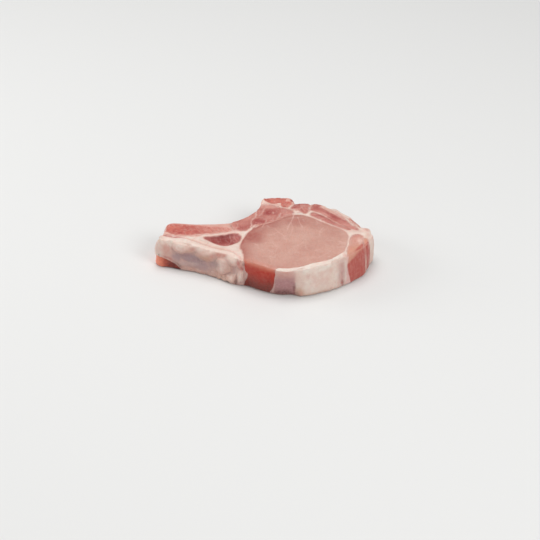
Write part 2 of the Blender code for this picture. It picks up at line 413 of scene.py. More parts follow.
class Board:
    """A node tree that nodes are put on and wired up."""

    def __init__(self, tree: bpy.types.NodeTree) -> None:
        """Starts on an empty tree."""
        self.tree = tree

    def feed(self, socket: bpy.types.NodeSocket, value: Value) -> None:
        """Wires a socket to another, or gives it a plain value."""
        if isinstance(value, bpy.types.NodeSocket):
            self.tree.links.new(value, socket)
        elif isinstance(value, tuple) and socket.type == "RGBA":
            socket.default_value = (*value, 1.0)
        else:
            socket.default_value = value

    def put(self, kind: str, inputs: dict, **settings: object) -> bpy.types.Node:
        """Adds a node.

        Args:
            kind: the node's type.
            inputs: values or wires by the input's name or number.
            settings: the node's own properties.

        Returns:
            The node.
        """
        node = self.tree.nodes.new(kind)
        for name, setting in settings.items():
            setattr(node, name, setting)
        for name, value in inputs.items():
            self.feed(node.inputs[name], value)
        return node

    def math(self, operation: str, first: Value, second: Value = 0.0) -> bpy.types.NodeSocket:
        """Adds a sum, product or other operation on two numbers."""
        node = self.put("ShaderNodeMath", {0: first, 1: second}, operation=operation)
        return node.outputs[0]

    def mix(self, share: Value, first: Value, second: Value) -> bpy.types.NodeSocket:
        """Mixes two colours."""
        node = self.put("ShaderNodeMix", {0: share, 6: first, 7: second}, data_type="RGBA")
        return node.outputs[2]

    def ramp(
        self, value: Value, low: Value, high: Value, start: Value = 0.0, end: Value = 1.0
    ) -> bpy.types.NodeSocket:
        """A smooth ramp from start at low to end at high."""
        inputs = {"Value": value, 1: low, 2: high, 3: start, 4: end}
        node = self.put("ShaderNodeMapRange", inputs, interpolation_type="SMOOTHSTEP")
        return node.outputs[0]

    def noise(self, where: Value, scale: Value, detail: float = 3.0) -> bpy.types.NodeSocket:
        """Adds noise of a scale in swings for each metre."""
        inputs = {"Vector": where, "Scale": scale, "Detail": detail}
        return self.put("ShaderNodeTexNoise", inputs).outputs[0]


@dataclass(frozen=True)
class Effect:
    """A shader node group that several materials share.

    Attributes:
        name: the group's name.
        inputs: the named inputs, each with its usual value.
        outputs: the named outputs, all of them numbers.
    """

    name: str
    inputs: tuple[tuple[str, float], ...]
    outputs: tuple[str, ...]

    def wire(self, board: Board, given: bpy.types.Node) -> dict[str, bpy.types.NodeSocket]:
        """Builds the group's nodes. Each effect has its own."""
        raise NotImplementedError

    def group(self) -> bpy.types.NodeTree:
        """The node group, built on first use."""
        made = bpy.data.node_groups.get(self.name)
        if made is not None:
            return made
        made = bpy.data.node_groups.new(self.name, "ShaderNodeTree")
        made.interface.new_socket("Where", in_out="INPUT", socket_type="NodeSocketVector")
        for name, usual in self.inputs:
            socket = made.interface.new_socket(
                name, in_out="INPUT", socket_type="NodeSocketFloat"
            )
            socket.default_value = usual
        for name in self.outputs:
            made.interface.new_socket(name, in_out="OUTPUT", socket_type="NodeSocketFloat")
        board = Board(made)
        given = made.nodes.new("NodeGroupInput")
        results = self.wire(board, given)
        board.put("NodeGroupOutput", results)
        return made

    def place(self, board: Board, where: Value, **values: Value) -> bpy.types.Node:
        """Puts the group in a material with its own values."""
        node = board.put("ShaderNodeGroup", {}, node_tree=self.group())
        board.feed(node.inputs["Where"], where)
        for name, value in values.items():
            board.feed(node.inputs[name.replace("_", " ")], value)
        return node


class MottleEffect(Effect):
    """Cloudy unevenness of colour in two sizes, from 0 to 1."""

    def wire(self, board: Board, given: bpy.types.Node) -> dict[str, bpy.types.NodeSocket]:
        """Noise of the wide and the fine size, mixed by share and stretched in contrast."""
        wide = board.noise(given.outputs["Where"], given.outputs["Wide"], 2.0)
        fine = board.noise(given.outputs["Where"], given.outputs["Fine"], 3.0)
        fine_part = board.math("MULTIPLY", fine, given.outputs["Fine Share"])
        wide_share = board.math("SUBTRACT", 1.0, given.outputs["Fine Share"])
        both = board.math("ADD", board.math("MULTIPLY", wide, wide_share), fine_part)
        return {"Value": board.ramp(both, 0.3, 0.7)}


class BundleEffect(Effect):
    """Ends of fibre bundles on a cut face: round cells with paler films between them."""

    def wire(self, board: Board, given: bpy.types.Node) -> dict[str, bpy.types.NodeSocket]:
        """A cell pattern on bent coordinates, and a finer one on it."""
        bend = board.put(
            "ShaderNodeTexNoise", {"Vector": given.outputs["Where"], "Scale": 300.0}
        )
        spread = board.put(
            "ShaderNodeVectorMath",
            {0: bend.outputs["Color"], "Scale": BUNDLE_BEND},
            operation="SCALE",
        )
        bent = board.put(
            "ShaderNodeVectorMath", {0: given.outputs["Where"], 1: spread.outputs[0]}
        ).outputs[0]
        cells = board.put(
            "ShaderNodeTexVoronoi",
            {"Vector": bent, "Scale": given.outputs["Cells"]},
            feature="DISTANCE_TO_EDGE",
        ).outputs[0]
        film = board.ramp(cells, 0.0, given.outputs["Film"], 1.0, 0.0)
        rise = board.ramp(cells, 0.0, 0.35)
        return {"Film": film, "Height": rise}


class VeinEffect(Effect):
    """Thin winding threads, as marbling or as fine blood vessels."""

    def wire(self, board: Board, given: bpy.types.Node) -> dict[str, bpy.types.NodeSocket]:
        """Places where bent noise passes through its middle value, broken up by more."""
        path = board.noise(given.outputs["Where"], given.outputs["Scale"], 2.0)
        off = board.math("ABSOLUTE", board.math("SUBTRACT", path, 0.5))
        thread = board.ramp(off, 0.0, given.outputs["Width"], 1.0, 0.0)
        cover = board.noise(given.outputs["Where"], given.outputs["Gaps"], 1.0)
        return {"Mask": board.math("MULTIPLY", thread, board.ramp(cover, 0.45, 0.62))}


class MoistureEffect(Effect):
    """Roughness of a moist surface: wet where it pools, drier between."""

    def wire(self, board: Board, given: bpy.types.Node) -> dict[str, bpy.types.NodeSocket]:
        """Noise between the wet and the dry roughness."""
        pools = board.noise(given.outputs["Where"], given.outputs["Scale"], 4.0)
        wet, dry = given.outputs["Wet"], given.outputs["Dry"]
        return {"Roughness": board.ramp(pools, 0.36, 0.62, wet, dry)}


class SpongeEffect(Effect):
    """The open spongy inside of a sawn bone: small pits of uneven size."""

    def wire(self, board: Board, given: bpy.types.Node) -> dict[str, bpy.types.NodeSocket]:
        """Pits at the middles of two cell patterns."""
        pits = []
        for factor in (1.0, 1.9):
            scale = board.math("MULTIPLY", given.outputs["Pits"], factor)
            inputs = {"Vector": given.outputs["Where"], "Scale": scale}
            cells = board.put("ShaderNodeTexVoronoi", inputs).outputs[0]
            pits.append(board.ramp(cells, 0.12, 0.42, 1.0, 0.0))
        return {"Pit": board.math("MAXIMUM", pits[0], board.math("MULTIPLY", pits[1], 0.7))}


MOTTLE = MottleEffect(
    "colour_mottle", (("Wide", 60.0), ("Fine", 400.0), ("Fine Share", 0.4)), ("Value",)
)
BUNDLES = BundleEffect("fibre_bundles", (("Cells", 700.0), ("Film", 0.08)), ("Film", "Height"))
VEINS = VeinEffect("fine_veins", (("Scale", 90.0), ("Width", 0.02), ("Gaps", 70.0)), ("Mask",))
MOISTURE = MoistureEffect(
    "moisture", (("Scale", 150.0), ("Wet", 0.25), ("Dry", 0.5)), ("Roughness",)
)
SPONGE = SpongeEffect("bone_sponge", (("Pits", 900.0),), ("Pit",))


# ---------------------------------------------------------------- finishes
@dataclass(frozen=True)
class Layer:
    """A colour that a mask lays over what is there.

    Attributes:
        mask: the vertex attribute that places it.
        colour: its colour.
        strength: its share where the mask is 1.
        ragged: how much noise breaks it up.
    """

    mask: Mask
    colour: Colour
    strength: float = 1.0
    ragged: float = 0.3


@dataclass(frozen=True)
class Finish:
    """Raw meat, fat or bone: moist, slightly translucent and uneven in colour.

    Attributes:
        base: the main colour.
        shade: the colour that it wanders towards.
        layers: the masked colours, the later over the earlier.
        wide: swings of the colour's wandering for each metre.
        film: colour of the films between fibre bundles.
        film_strength: how strongly they show.
        cells: fibre bundles for each metre.
        vein: colour of the fine threads.
        vein_strength: how strongly they show.
        pits: depth of sponge pits, which only cut bone has.
        pit_colour: colour inside them.
        wet: roughness where it is wettest.
        dry: roughness where it is driest.
        relief: height of the fine bumps, in metres.
        translucence: weight of the light that goes through the surface.
        gleam: weight of the clear wet film.
    """

    base: Colour
    shade: Colour
    layers: tuple[Layer, ...] = ()
    wide: float = 70.0
    film: Colour = (0.8, 0.55, 0.48)
    film_strength: float = 0.0
    cells: float = 800.0
    vein: Colour = (0.8, 0.55, 0.48)
    vein_strength: float = 0.0
    pits: float = 0.0
    pit_colour: Colour = (0.4, 0.06, 0.05)
    wet: float = 0.3
    dry: float = 0.5
    relief: float = 0.00018
    translucence: float = 0.12
    gleam: float = 0.2

    def material(self, name: str) -> bpy.types.Material:
        """Makes the material.

        Args:
            name: the material's name.

        Returns:
            A node material that reads the masks.
        """
        made = bpy.data.materials.new(name)
        made.use_nodes = True
        board = Board(made.node_tree)
        shader = made.node_tree.nodes["Principled BSDF"]
        where = board.put("ShaderNodeTexCoord", {}).outputs["Object"]
        mottle = MOTTLE.place(board, where, Wide=self.wide).outputs[0]
        colour = board.mix(mottle, self.base, self.shade)
        bundles = BUNDLES.place(board, where, Cells=self.cells)
        if self.film_strength:
            cut = self.mask(board, Mask.CUT)
            film = board.math("MULTIPLY", bundles.outputs["Film"], self.film_strength)
            colour = board.mix(board.math("MULTIPLY", film, cut), colour, self.film)
        if self.vein_strength:
            veins = VEINS.place(board, where).outputs[0]
            colour = board.mix(
                board.math("MULTIPLY", veins, self.vein_strength), colour, self.vein
            )
        colour = self.layered(board, where, colour)
        height: Value = bundles.outputs["Height"]
        if self.pits:
            height, colour = self.sponge(board, where, colour)
        fine = board.noise(where, 900.0, 4.0)
        height = board.math("ADD", board.math("MULTIPLY", height, 0.5), fine)
        bump = board.put("ShaderNodeBump", {"Height": height, "Distance": self.relief})
        board.feed(shader.inputs["Normal"], bump.outputs[0])
        board.feed(shader.inputs["Base Color"], colour)
        rough = MOISTURE.place(board, where, Wet=self.wet, Dry=self.dry).outputs[0]
        board.feed(shader.inputs["Roughness"], rough)
        shader.inputs["IOR"].default_value = FLESH_IOR
        shader.inputs["Subsurface Weight"].default_value = self.translucence
        shader.inputs["Subsurface Radius"].default_value = GLOW_RADIUS
        shader.inputs["Subsurface Scale"].default_value = GLOW_SCALE
        shader.inputs["Coat Weight"].default_value = self.gleam
        shader.inputs["Coat Roughness"].default_value = FILM_ROUGHNESS
        shader.inputs["Coat IOR"].default_value = FILM_IOR
        return made

    def mask(self, board: Board, mask: Mask) -> bpy.types.NodeSocket:
        """Reads a painted mask."""
        return board.put("ShaderNodeAttribute", {}, attribute_name=mask.value).outputs["Fac"]

    def layered(self, board: Board, where: Value, colour: Value) -> Value:
        """Lays the masked colours over a colour.

        Args:
            board: the material's board.
            where: the coordinates.
            colour: what is there.

        Returns:
            The colour with its layers.
        """
        for number, layer in enumerate(self.layers):
            mask = self.mask(board, layer.mask)
            tear = board.noise(where, 260.0 + 90.0 * number, 4.0)
            swing = board.ramp(tear, 0.3, 0.7, 1.0 - layer.ragged, 1.0 + layer.ragged)
            share = board.math("MULTIPLY", board.math("MULTIPLY", mask, swing), layer.strength)
            colour = board.mix(board.math("MINIMUM", share, 1.0), colour, layer.colour)
        return colour

    def sponge(self, board: Board, where: Value, colour: Value) -> tuple[Value, Value]:
        """The pitted inside of sawn bone, where the core mask is.

        Args:
            board: the material's board.
            where: the coordinates.
            colour: what is there.

        Returns:
            The height and the colour.
        """
        core = self.mask(board, Mask.CORE)
        sponge = SPONGE.place(board, where)
        pit = board.math("MULTIPLY", sponge.outputs["Pit"], core)
        dark = board.math("MULTIPLY", pit, self.pits)
        height = board.math("MULTIPLY", board.math("SUBTRACT", 1.0, pit), 2.0)
        return height, board.mix(dark, colour, self.pit_colour)


# ---------------------------------------------------------------- nodes and their skin
def mesh_vectors(items: bpy.types.bpy_prop_collection, what: str) -> Array:
    """Reads a collection's vectors as rows of (x, y, z)."""
    flat = np.empty(len(items) * 3)
    items.foreach_get(what, flat)
    return flat.reshape(-1, 3)


def new_object(name: str, mesh: bpy.types.Mesh) -> bpy.types.Object:
    """Puts a mesh in the scene as an object."""
    made = bpy.data.objects.new(name, mesh)
    bpy.context.scene.collection.objects.link(made)
    return made


def bmesh_object(made: bmesh.types.BMesh, name: str) -> bpy.types.Object:
    """Turns a bmesh in millimetres into an object in metres, and frees it."""
    bmesh.ops.scale(made, vec=(MM,) * 3, verts=made.verts)
    mesh = bpy.data.meshes.new(name)
    made.to_mesh(mesh)
    made.free()
    return new_object(name, mesh)


def pour_into(joined: bmesh.types.BMesh, part: bmesh.types.BMesh) -> None:
    """Adds a bmesh to another one, and frees it."""
    mesh = bpy.data.meshes.new("part")
    part.to_mesh(mesh)
    part.free()
    joined.from_mesh(mesh)
    bpy.data.meshes.remove(mesh)


def drop_object(obj: bpy.types.Object) -> None:
    """Deletes an object and its mesh."""
    mesh = obj.data
    bpy.data.objects.remove(obj)
    bpy.data.meshes.remove(mesh)


def settle_modifiers(obj: bpy.types.Object) -> None:
    """Replaces an object's mesh by what its modifiers make of it."""
    bpy.context.view_layer.update()
    graph = bpy.context.evaluated_depsgraph_get()
    mesh = bpy.data.meshes.new_from_object(obj.evaluated_get(graph))
    obj.modifiers.clear()
    old, obj.data = obj.data, mesh
    bpy.data.meshes.remove(old)


def combine(first: bpy.types.Object, second: bpy.types.Object, operation: str) -> None:
    """Cuts one closed object with another.

    Args:
        first: the object that changes.
        second: the cutter, which stays.
        operation: INTERSECT or DIFFERENCE.
    """
    cut = first.modifiers.new("cut", "BOOLEAN")
    cut.operation = operation
    cut.solver = "MANIFOLD"
    cut.object = second
    settle_modifiers(first)


class NodeShape:
    """A CAD node's closed mesh, which knows its seam walls from its outer skin."""

    def __init__(self, source: bpy.types.Mesh) -> None:
        """Takes a welded copy of the node's mesh, in millimetres."""
        self.mesh = bmesh.new()
        self.mesh.from_mesh(source)
        bmesh.ops.remove_doubles(self.mesh, verts=self.mesh.verts, dist=WELD)
        bmesh.ops.scale(self.mesh, vec=(1 / MM,) * 3, verts=self.mesh.verts)
        self.mesh.normal_update()
        self.mesh.verts.ensure_lookup_table()

    def find_seams(self, others: Sequence["NodeShape"]) -> None:
        """Marks the faces that look straight at another node across the gap."""
        trees = [BVHTree.FromBMesh(other.mesh) for other in others]
        for face in self.mesh.faces:
            face.material_index = 0
            middle = face.calc_center_median()
            for tree in trees:
                spot, normal, _, _ = tree.find_nearest(middle, SEAM_REACH)
                if spot is not None and normal.dot(face.normal) < FACING:
                    face.material_index = 1
                    break

    def moved_out(self, seam: float, skin: float) -> bmesh.types.BMesh:
        """A copy whose seam walls and skin are moved out by distances of their own.

        Args:
            seam: how far the seam walls move.
            skin: how far all other faces move.

        Returns:
            The copy, which the caller frees.
        """
        made = self.mesh.copy()
        made.verts.ensure_lookup_table()
        for vert in self.mesh.verts:
            normals = np.array([face.normal for face in vert.link_faces])
            moves = [seam if face.material_index else skin for face in vert.link_faces]
            system = normals.T @ normals + np.eye(3) * STEADINESS * len(normals)
            shift = np.linalg.solve(system, normals.T @ np.array(moves))
            longest = LONGEST_MOVE * max(abs(seam), abs(skin))
            shift *= min(1.0, longest / max(float(np.linalg.norm(shift)), 1e-9))
            made.verts[vert.index].co = vert.co + Vector(shift)
        return made

    def cutter(self) -> bmesh.types.BMesh:
        """A solid with uneven seam walls in the middle of the gaps, which overruns the skin."""
        made = self.moved_out(SEAM_MIDDLE, CUTTER_OVERRUN)
        for _ in range(CUTTER_ROUNDS):
            long = [edge for edge in made.edges if edge.calc_length() > CUTTER_CELL]
            bmesh.ops.subdivide_edges(made, edges=long, cuts=1, use_grid_fill=True)
            bmesh.ops.triangulate(made, faces=made.faces)
        points = np.array([vert.co for vert in made.verts])
        for axis in range(3):
            wander = SEAM_WANDER * layered_noise(points, 5.0, 11 + axis)
            wander = wander + SEAM_FLUTTER * lattice_noise(points, 2.0, 17 + axis)
            for vert, amount in zip(made.verts, wander):
                vert.co[axis] += amount
        made.normal_update()
        return made


@dataclass
class Piece:
    """A piece of the chop that stands for one CAD node.

    Attributes:
        node: the CAD node's name.
        tissue: the kind of tissue; not used.
        finish: its look.
        title: the piece's own name.
    """

    node: str = ""
    tissue: Tissue = Tissue.LEAN
    finish: Finish = Finish((0.6, 0.25, 0.2), (0.5, 0.2, 0.16))
    title: str = ""

    def relief(self, site: Site) -> Array:
        """How far the skin stands out over the smoothed solid at each point."""
        return np.zeros(len(site.points))

    def masks(self, site: Site) -> dict[Mask, Array]:
        """The painted masks at each point."""
        return {}

    def dress(self, obj: bpy.types.Object, walls: BVHTree) -> None:
        """Paints the masks, gives the material and hands the piece to the frame.

        Args:
            obj: the cut piece.
            walls: the walls of all seams, in millimetres.
        """
        mesh = obj.data
        mesh.materials.clear()
        mesh.materials.append(self.finish.material(self.title + "_finish"))
        mesh.polygons.foreach_set("material_index", [0] * len(mesh.polygons))
        mesh.polygons.foreach_set("use_smooth", [True] * len(mesh.polygons))
        mesh.set_sharp_from_angle(angle=CREASE_ANGLE)
        site = site_of(mesh, walls)
        masks = {Mask.CUT: site.cut, **self.masks(site)}
        for mask, value in masks.items():
            attribute = mesh.attributes.new(mask.value, "FLOAT", "POINT")
            attribute.data.foreach_set("value", np.clip(value, 0.0, 1.0))
        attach(obj, "root")
        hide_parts(self.node)
        log.info("%s: %d faces, masks %s", obj.name, len(mesh.polygons), list(masks))


def seam_distance(points: Array, walls: BVHTree) -> Array:
    """Distance of each point from the nearest seam wall, at most SEAM_FAR."""
    found = (walls.find_nearest(Vector(point), SEAM_FAR)[3] for point in points)
    return np.array([SEAM_FAR if distance is None else distance for distance in found])


def site_of(mesh: bpy.types.Mesh, walls: BVHTree) -> Site:
    """The site of a mesh's vertices."""
    points = mesh_vectors(mesh.vertices, "co") / MM
    normals = mesh_vectors(mesh.vertex_normals, "vector")
    return Site(points, normals, seam_distance(points, walls))


# ---------------------------------------------------------------- the pieces
@dataclass
class FatCover(Piece):
    """The fat: back fat, the web between the muscles and the belly fat under the rib.

    Attributes:
        lumps: pillows of fat on the front wall.
        swells: soft hollows and folds of the front wall.
        bumps: raised and sunken places of the rim, as plan places.
        layer_line: where the rib's fat and the flank's fat meet on the cut face.
        web: raised and sunken forms of the cut face.
        merges: places of the cut face where the web is thin and flesh shows.
    """

    node: str = "fat"
    tissue: Tissue = Tissue.FAT
    title: str = "fat_cover"
    lumps: tuple[Lump, ...] = (
        # under the crest, from the rib's end
        *lump_rows(
            (-76.0, 16.5, 8.0, 9.6, 10.0, 1.32), (-61.0, 19.4, 8.6, 4.8, -6.0, 2.2),
            (-50.4, 21.2, 6.4, 3.6, 10.0, 1.34), (-43.0, 17.4, 9.4, 6.0, 16.0, 2.44),
            (-33.0, 21.2, 9.0, 3.8, 24.0, 1.59),
        ),
        # soft bulges of the membrane
        *lump_rows(
            (-60.4, 7.0, 5.0, 3.4, -10.0, 1.15), (-51.8, 7.4, 5.6, 4.2, 0.0, 1.4),
            (-44.0, 6.8, 4.4, 4.6, 8.0, 1.23),
        ),
        # the smooth fold and the beads of fat at its foot
        *lump_rows(
            (-30.6, 12.6, 5.4, 9.4, -26.0, 2.37), (-39.0, 2.6, 3.2, 3.0, 0.0, 1.4),
            (-33.8, 3.0, 3.0, 3.2, 0.0, 1.59), (-29.0, 2.6, 3.0, 3.0, 0.0, 1.67),
            (-24.4, 5.0, 2.8, 4.8, -24.0, 2.11), (-46.5, 1.6, 3.8, 2.4, 0.0, 0.96),
        ),
        # beside the bare loin
        *lump_rows(
            (-18.0, 8.6, 2.4, 6.8, -10.0, 2.03), (-15.2, 9.2, 1.7, 6.4, -14.0, 1.67),
            (-24.0, 20.6, 4.6, 4.8, 0.0, 1.93), (-17.6, 19.4, 3.0, 4.6, 0.0, 1.15),
        ),
    )
    swells: tuple[Mark, ...] = (
        *patch_rows(
            (-53.0, 10.0, 15.0, 6.5, -3.0, -1.8), (-35.0, 6.0, 16.0, 8.0, 0.0, -1.2),
            (-21.2, 8.0, 1.8, 9.0, 6.0, -0.9), (-68.0, 19.0, 1.6, 6.0, 10.0, -0.5),
        ),
        # the fat cap to the right
        Patch((14.5, 8.0), (6.0, 9.0), 0.0, -0.7),
        Thread(((21.5, 0.0), (22.2, 6.0), (22.8, 12.0)), 1.3, -0.6),
        *patch_rows(
            (26.5, 4.0, 3.5, 4.5, 0.0, 0.6), (40.0, 10.0, 12.0, 9.0, 0.0, 0.7),
        ),
        Thread(((58.3, 0.0), (57.4, 6.0), (57.0, 18.0)), 1.6, -0.6),
        *patch_rows(
            (61.0, 12.0, 2.0, 9.0, 0.0, 0.35), (31.5, 22.0, 4.0, 3.0, 0.0, 0.5),
            (41.5, 22.5, 3.0, 2.5, 0.0, 0.6), (48.0, 22.0, 3.5, 2.5, 0.0, 0.5),
        ),
    )
    bumps: tuple[Mark, ...] = patch_rows(
        (-76.0, 4.5, 4.0, 4.6, 0.0, -1.0), (-78.6, -5.0, 4.0, 4.0, 0.0, 1.0),
        (-79.0, -18.0, 4.0, 5.0, 0.0, 0.4), (77.4, 4.6, 3.6, 3.6, 0.0, 0.8),
        (72.6, 11.0, 2.4, 2.0, 0.0, -0.8), (81.0, -1.6, 2.8, 2.6, 0.0, 0.8),
        (80.5, -9.0, 2.6, 3.0, 0.0, -0.5), (80.0, -16.0, 2.6, 3.4, 0.0, 0.6),
        (79.5, -24.0, 2.6, 3.4, 0.0, -0.5), (78.5, -32.0, 2.6, 4.0, 0.0, 0.6),
        (55.0, 35.0, 4.0, 3.0, -40.0, 0.5), (65.5, 24.0, 2.5, 3.0, -50.0, 0.4),
    )
    layer_line: tuple[Place, ...] = (
        (-74.0, -2.4), (-70.0, -4.2), (-64.0, -4.8), (-57.0, -5.8), (-50.0, -10.2),
        (-45.0, -13.4), (-40.0, -16.8), (-35.0, -19.4), (-28.0, -21.6), (-22.0, -25.0),
        (-18.5, -30.0), (-16.5, -34.0),
    )
    web: tuple[Mark, ...] = (
        Thread(((-14.0, 5.0), (-17.5, -6.0), (-18.5, -18.0), (-15.0, -32.0)), 2.4, -0.5, 0.2),
        Thread(((-72.0, -8.5), (-52.0, -14.5), (-38.0, -21.5), (-27.0, -27.0)), 2.4, 0.5, 0.2),
        Thread(((-50.0, -7.0), (-40.0, -13.5), (-30.0, -18.5)), 1.6, 0.3, 0.3),
        *patch_rows(
            (25.5, 30.0, 3.5, 3.0, 0.0, -0.3), (69.0, 2.0, 7.0, 4.0, 0.0, 0.4),
            (76.5, 6.0, 2.6, 2.6, 0.0, 0.9), (72.4, 10.2, 1.8, 1.4, -50.0, -0.9),
        ),
    )
    merges: tuple[Mark, ...] = (
        EYE_MERGE,
        CAP_MERGE,
        Thread(((44.0, 26.8), (52.0, 19.6)), 0.7, 0.5, 0.6),
        Thread(((35.8, 39.6), (35.0, 36.0), (34.2, 32.0)), 1.1, 1.0, 0.4),
        Thread(((-24.0, 14.6), (-24.6, 10.0), (-22.6, 6.8)), 1.5, 1.2, 0.3),
        Thread(((65.6, 20.6), (68.6, 15.6), (71.6, 10.8)), 1.3, 1.3, 0.2),
        *patch_rows(
            (24.8, 34.2, 1.5, 1.8, 0.0, 0.7), (26.4, 30.6, 2.4, 1.3, 10.0, 0.45),
            (76.6, 5.4, 2.0, 1.6, -40.0, 0.5), (21.4, 34.6, 1.4, 2.6, 30.0, 0.7),
            (33.6, 32.0, 1.4, 2.2, -20.0, 0.5), (30.6, 29.4, 2.6, 1.0, -20.0, 0.5),
            (19.6, 30.4, 1.4, 2.0, 0.0, 0.5), (4.0, 41.6, 5.0, 1.0, 0.0, 0.4),
        ),
    )

    def pillows(self, site: Site) -> tuple[Array, Array]:
        """The lumps of the front wall, bent out of their ovals.

        Args:
            site: the points.

        Returns:
            Their height, and 1 in the soft creases between them and at their feet.
        """
        bend = [2.4 * layered_noise(site.points, 6.5, 56 + axis, 3) for axis in range(2)]
        places = site.front + np.column_stack(bend)
        heights = np.sort(np.array([lump.over(places) for lump in self.lumps]), axis=0)
        highest, second = heights[-1], heights[-2]
        blend = np.clip(1.0 - (highest - second) / 0.8, 0.0, 1.0)
        meeting = np.exp(-(((highest - second) / 0.5) ** 2)) * smoothstep(0.1, 0.6, second)
        foot = np.exp(-((highest / 0.5) ** 2))
        return highest + 0.2 * blend**2, np.maximum(0.8 * meeting, foot)

    def relief(self, site: Site) -> Array:
        """Lumps, folds and hollows of the front wall and a gently uneven cut face."""
        points = site.points
        front = self.pillows(site)[0] + summed(self.swells, site.front)
        front = site.front_wall * front
        knobs = smoothstep(9.0, 2.0, points[:, 2]) * layered_noise(points, 2.4, 7, 2)
        lumps = self.loose(site) * (0.4 * layered_noise(points, 4.4, 5) + 0.4 * knobs)
        wall = site.wall * (0.4 * layered_noise(points, 8.0, 3) + 0.16 * layered_noise(points, 2.6, 4))
        rim = (site.wall + site.brim) * summed(self.bumps, site.plan)
        step = 0.5 * np.exp(-((line_distance(site.plan, self.layer_line) / 0.9) ** 2))
        web = summed(self.web, site.plan) + 0.22 * layered_noise(points, 3.6, 6)
        face = site.top * (web - step)
        return front + lumps + wall + rim + face

    def masks(self, site: Site) -> dict[Mask, Array]:
        """Flushes, membrane, yellower fat, blood, painted highlights and painted shade of the front
        wall, and the cut face's lines.
        """
        return {
            Mask.TAN_AND_SHADE: self.tan_and_shade(site),
            Mask.CREAM_AND_HIGHLIGHT: self.cream_and_highlight(site),
            Mask.BLUSH: self.blush(site),
            Mask.MEMBRANE_AND_SHADE: self.membrane_and_shade(site),
            Mask.MAUVE: self.mauve(site),
            Mask.FLESH: self.flesh(site),
            Mask.DARK_AND_SHADE: self.deep(site),
            Mask.BLOOD: self.blood(site),
        }

    def layer(self, site: Site) -> Array:
        """1 on the line between the rib's and the flank's fat."""
        stations = [-74.0, -58.0, -50.0, -30.0, -16.0]
        widths = np.interp(site.plan[:, 0], stations, [1.2, 0.9, 0.8, 1.6, 0.9])
        return site.top * np.exp(-((line_distance(site.plan, self.layer_line) / widths) ** 2))

    def flesh(self, site: Site) -> Array:
        """Lean that shows through the thin web, and creeps into its borders."""
        creep = 0.75 * site.fringe(0.7, 55) * (1.0 - self.cap(site))
        thin = strongest(self.merges, site.plan)
        return np.maximum(site.top, site.brim) * np.maximum(creep, thin)

    def cap(self, site: Site) -> Array:
        """1 on the thick fat cap of the front right, whose border is clean."""
        return smoothstep(4.0, 9.0, site.plan[:, 0]) * smoothstep(-24.0, -28.0, site.plan[:, 1])

    def tan_and_shade(self, site: Site) -> Array:
        """Dry and yellower fat, with painted shade on the lower sides of the front wall's lumps and near
        its foot.
        """
        fine = 0.5 + 0.5 * layered_noise(site.points, 3.5, 52)
        side = site.wall * (1.0 - site.front_wall)
        # yellower fat on the front wall, partly painted shade on the lower sides of the lumps and near
        # the foot
        front = site.front_wall * strongest(
            patch_rows(
                (-58.0, 3.4, 9.0, 2.2, 0.0, 0.5), (-54.0, 18.4, 4.5, 2.2, 0.0, 0.5),
                (-43.0, 15.8, 7.0, 3.6, 10.0, 0.95), (-50.0, 2.6, 10.0, 2.6, 0.0, 0.5),
                (-32.0, 3.0, 12.0, 3.4, 0.0, 0.6), (-24.0, 12.0, 3.0, 5.0, 0.0, 0.4),
                (26.0, 3.6, 4.4, 5.5, 0.0, 0.8), (37.0, 1.0, 14.0, 2.6, 0.0, 0.45),
                (79.5, 12.0, 2.0, 8.0, 0.0, 0.4),
            ),
            site.front,
        )
        top = site.top * strongest(
            (
                Thread(((-57.0, -6.4), (-47.0, -12.6), (-38.0, -18.4), (-33.0, -21.0)), 0.8, 0.6),
                Patch((-33.0, -20.0), (6.0, 1.8), -28.0, 0.7),
                Thread(((-48.0, -8.6), (-40.0, -14.6), (-30.0, -19.6)), 0.8, 0.4),
                Patch((76.5, -4.0), (2.0, 4.0), 0.0, 0.4),
            ),
            site.plan,
        )
        return np.maximum.reduce((front, top, (side + site.under) * 0.45 * smoothstep(0.3, 0.8, fine)))

    def cream_and_highlight(self, site: Site) -> Array:
        """Thick clean fat, with painted highlights on the tops of the front wall's lumps."""
        top = site.top * smoothstep(0.4, 1.6, site.edge)
        top = top * (0.55 + 0.35 * layered_noise(site.points, 6.0, 54))
        top = np.maximum(top, 0.9 * site.top * self.cap(site))
        cloud = 0.5 + 0.5 * layered_noise(site.points, 7.0, 53)
        side = site.wall * (1.0 - site.front_wall) * 0.6 * smoothstep(0.35, 0.75, cloud)
        # clean fat on the front wall, with painted highlights on the tops of the lumps
        front = site.front_wall * strongest(
            patch_rows(
                (-71.0, 22.4, 10.0, 3.4, 0.0, 1.0), (-62.5, 21.0, 6.0, 3.0, -6.0, 1.0),
                (-48.0, 21.6, 5.0, 2.4, 10.0, 0.7), (-45.0, 23.6, 20.0, 1.5, 0.0, 0.7),
                (-43.5, 20.4, 4.0, 2.2, 0.0, 0.65), (-78.5, 16.0, 3.0, 9.0, 0.0, 1.0),
                (-52.5, 8.0, 4.4, 2.2, 0.0, 0.55), (-60.5, 7.0, 3.6, 2.0, 0.0, 0.5),
                (-45.6, 8.0, 3.0, 2.6, 0.0, 0.4), (-35.0, 3.4, 8.0, 1.8, 0.0, 0.35),
                (-31.0, 14.0, 3.6, 7.0, -28.0, 0.85), (-24.0, 22.0, 4.0, 3.6, 0.0, 1.1),
                (-24.4, 5.6, 2.2, 3.8, -24.0, 0.8), (-17.0, 9.0, 3.0, 5.6, -10.0, 1.0),
                (-30.0, 3.2, 3.0, 2.0, 0.0, 0.6), (39.0, 21.6, 17.0, 4.4, 0.0, 1.0),
                (38.0, 11.0, 15.0, 11.0, 0.0, 0.85), (52.0, 11.0, 4.0, 10.0, 0.0, 0.8),
                (61.0, 12.0, 2.4, 11.0, 0.0, 0.8), (79.5, 16.0, 2.4, 9.0, 0.0, 0.8),
            ),
            site.front,
        )
        return np.maximum.reduce((top, front, side))

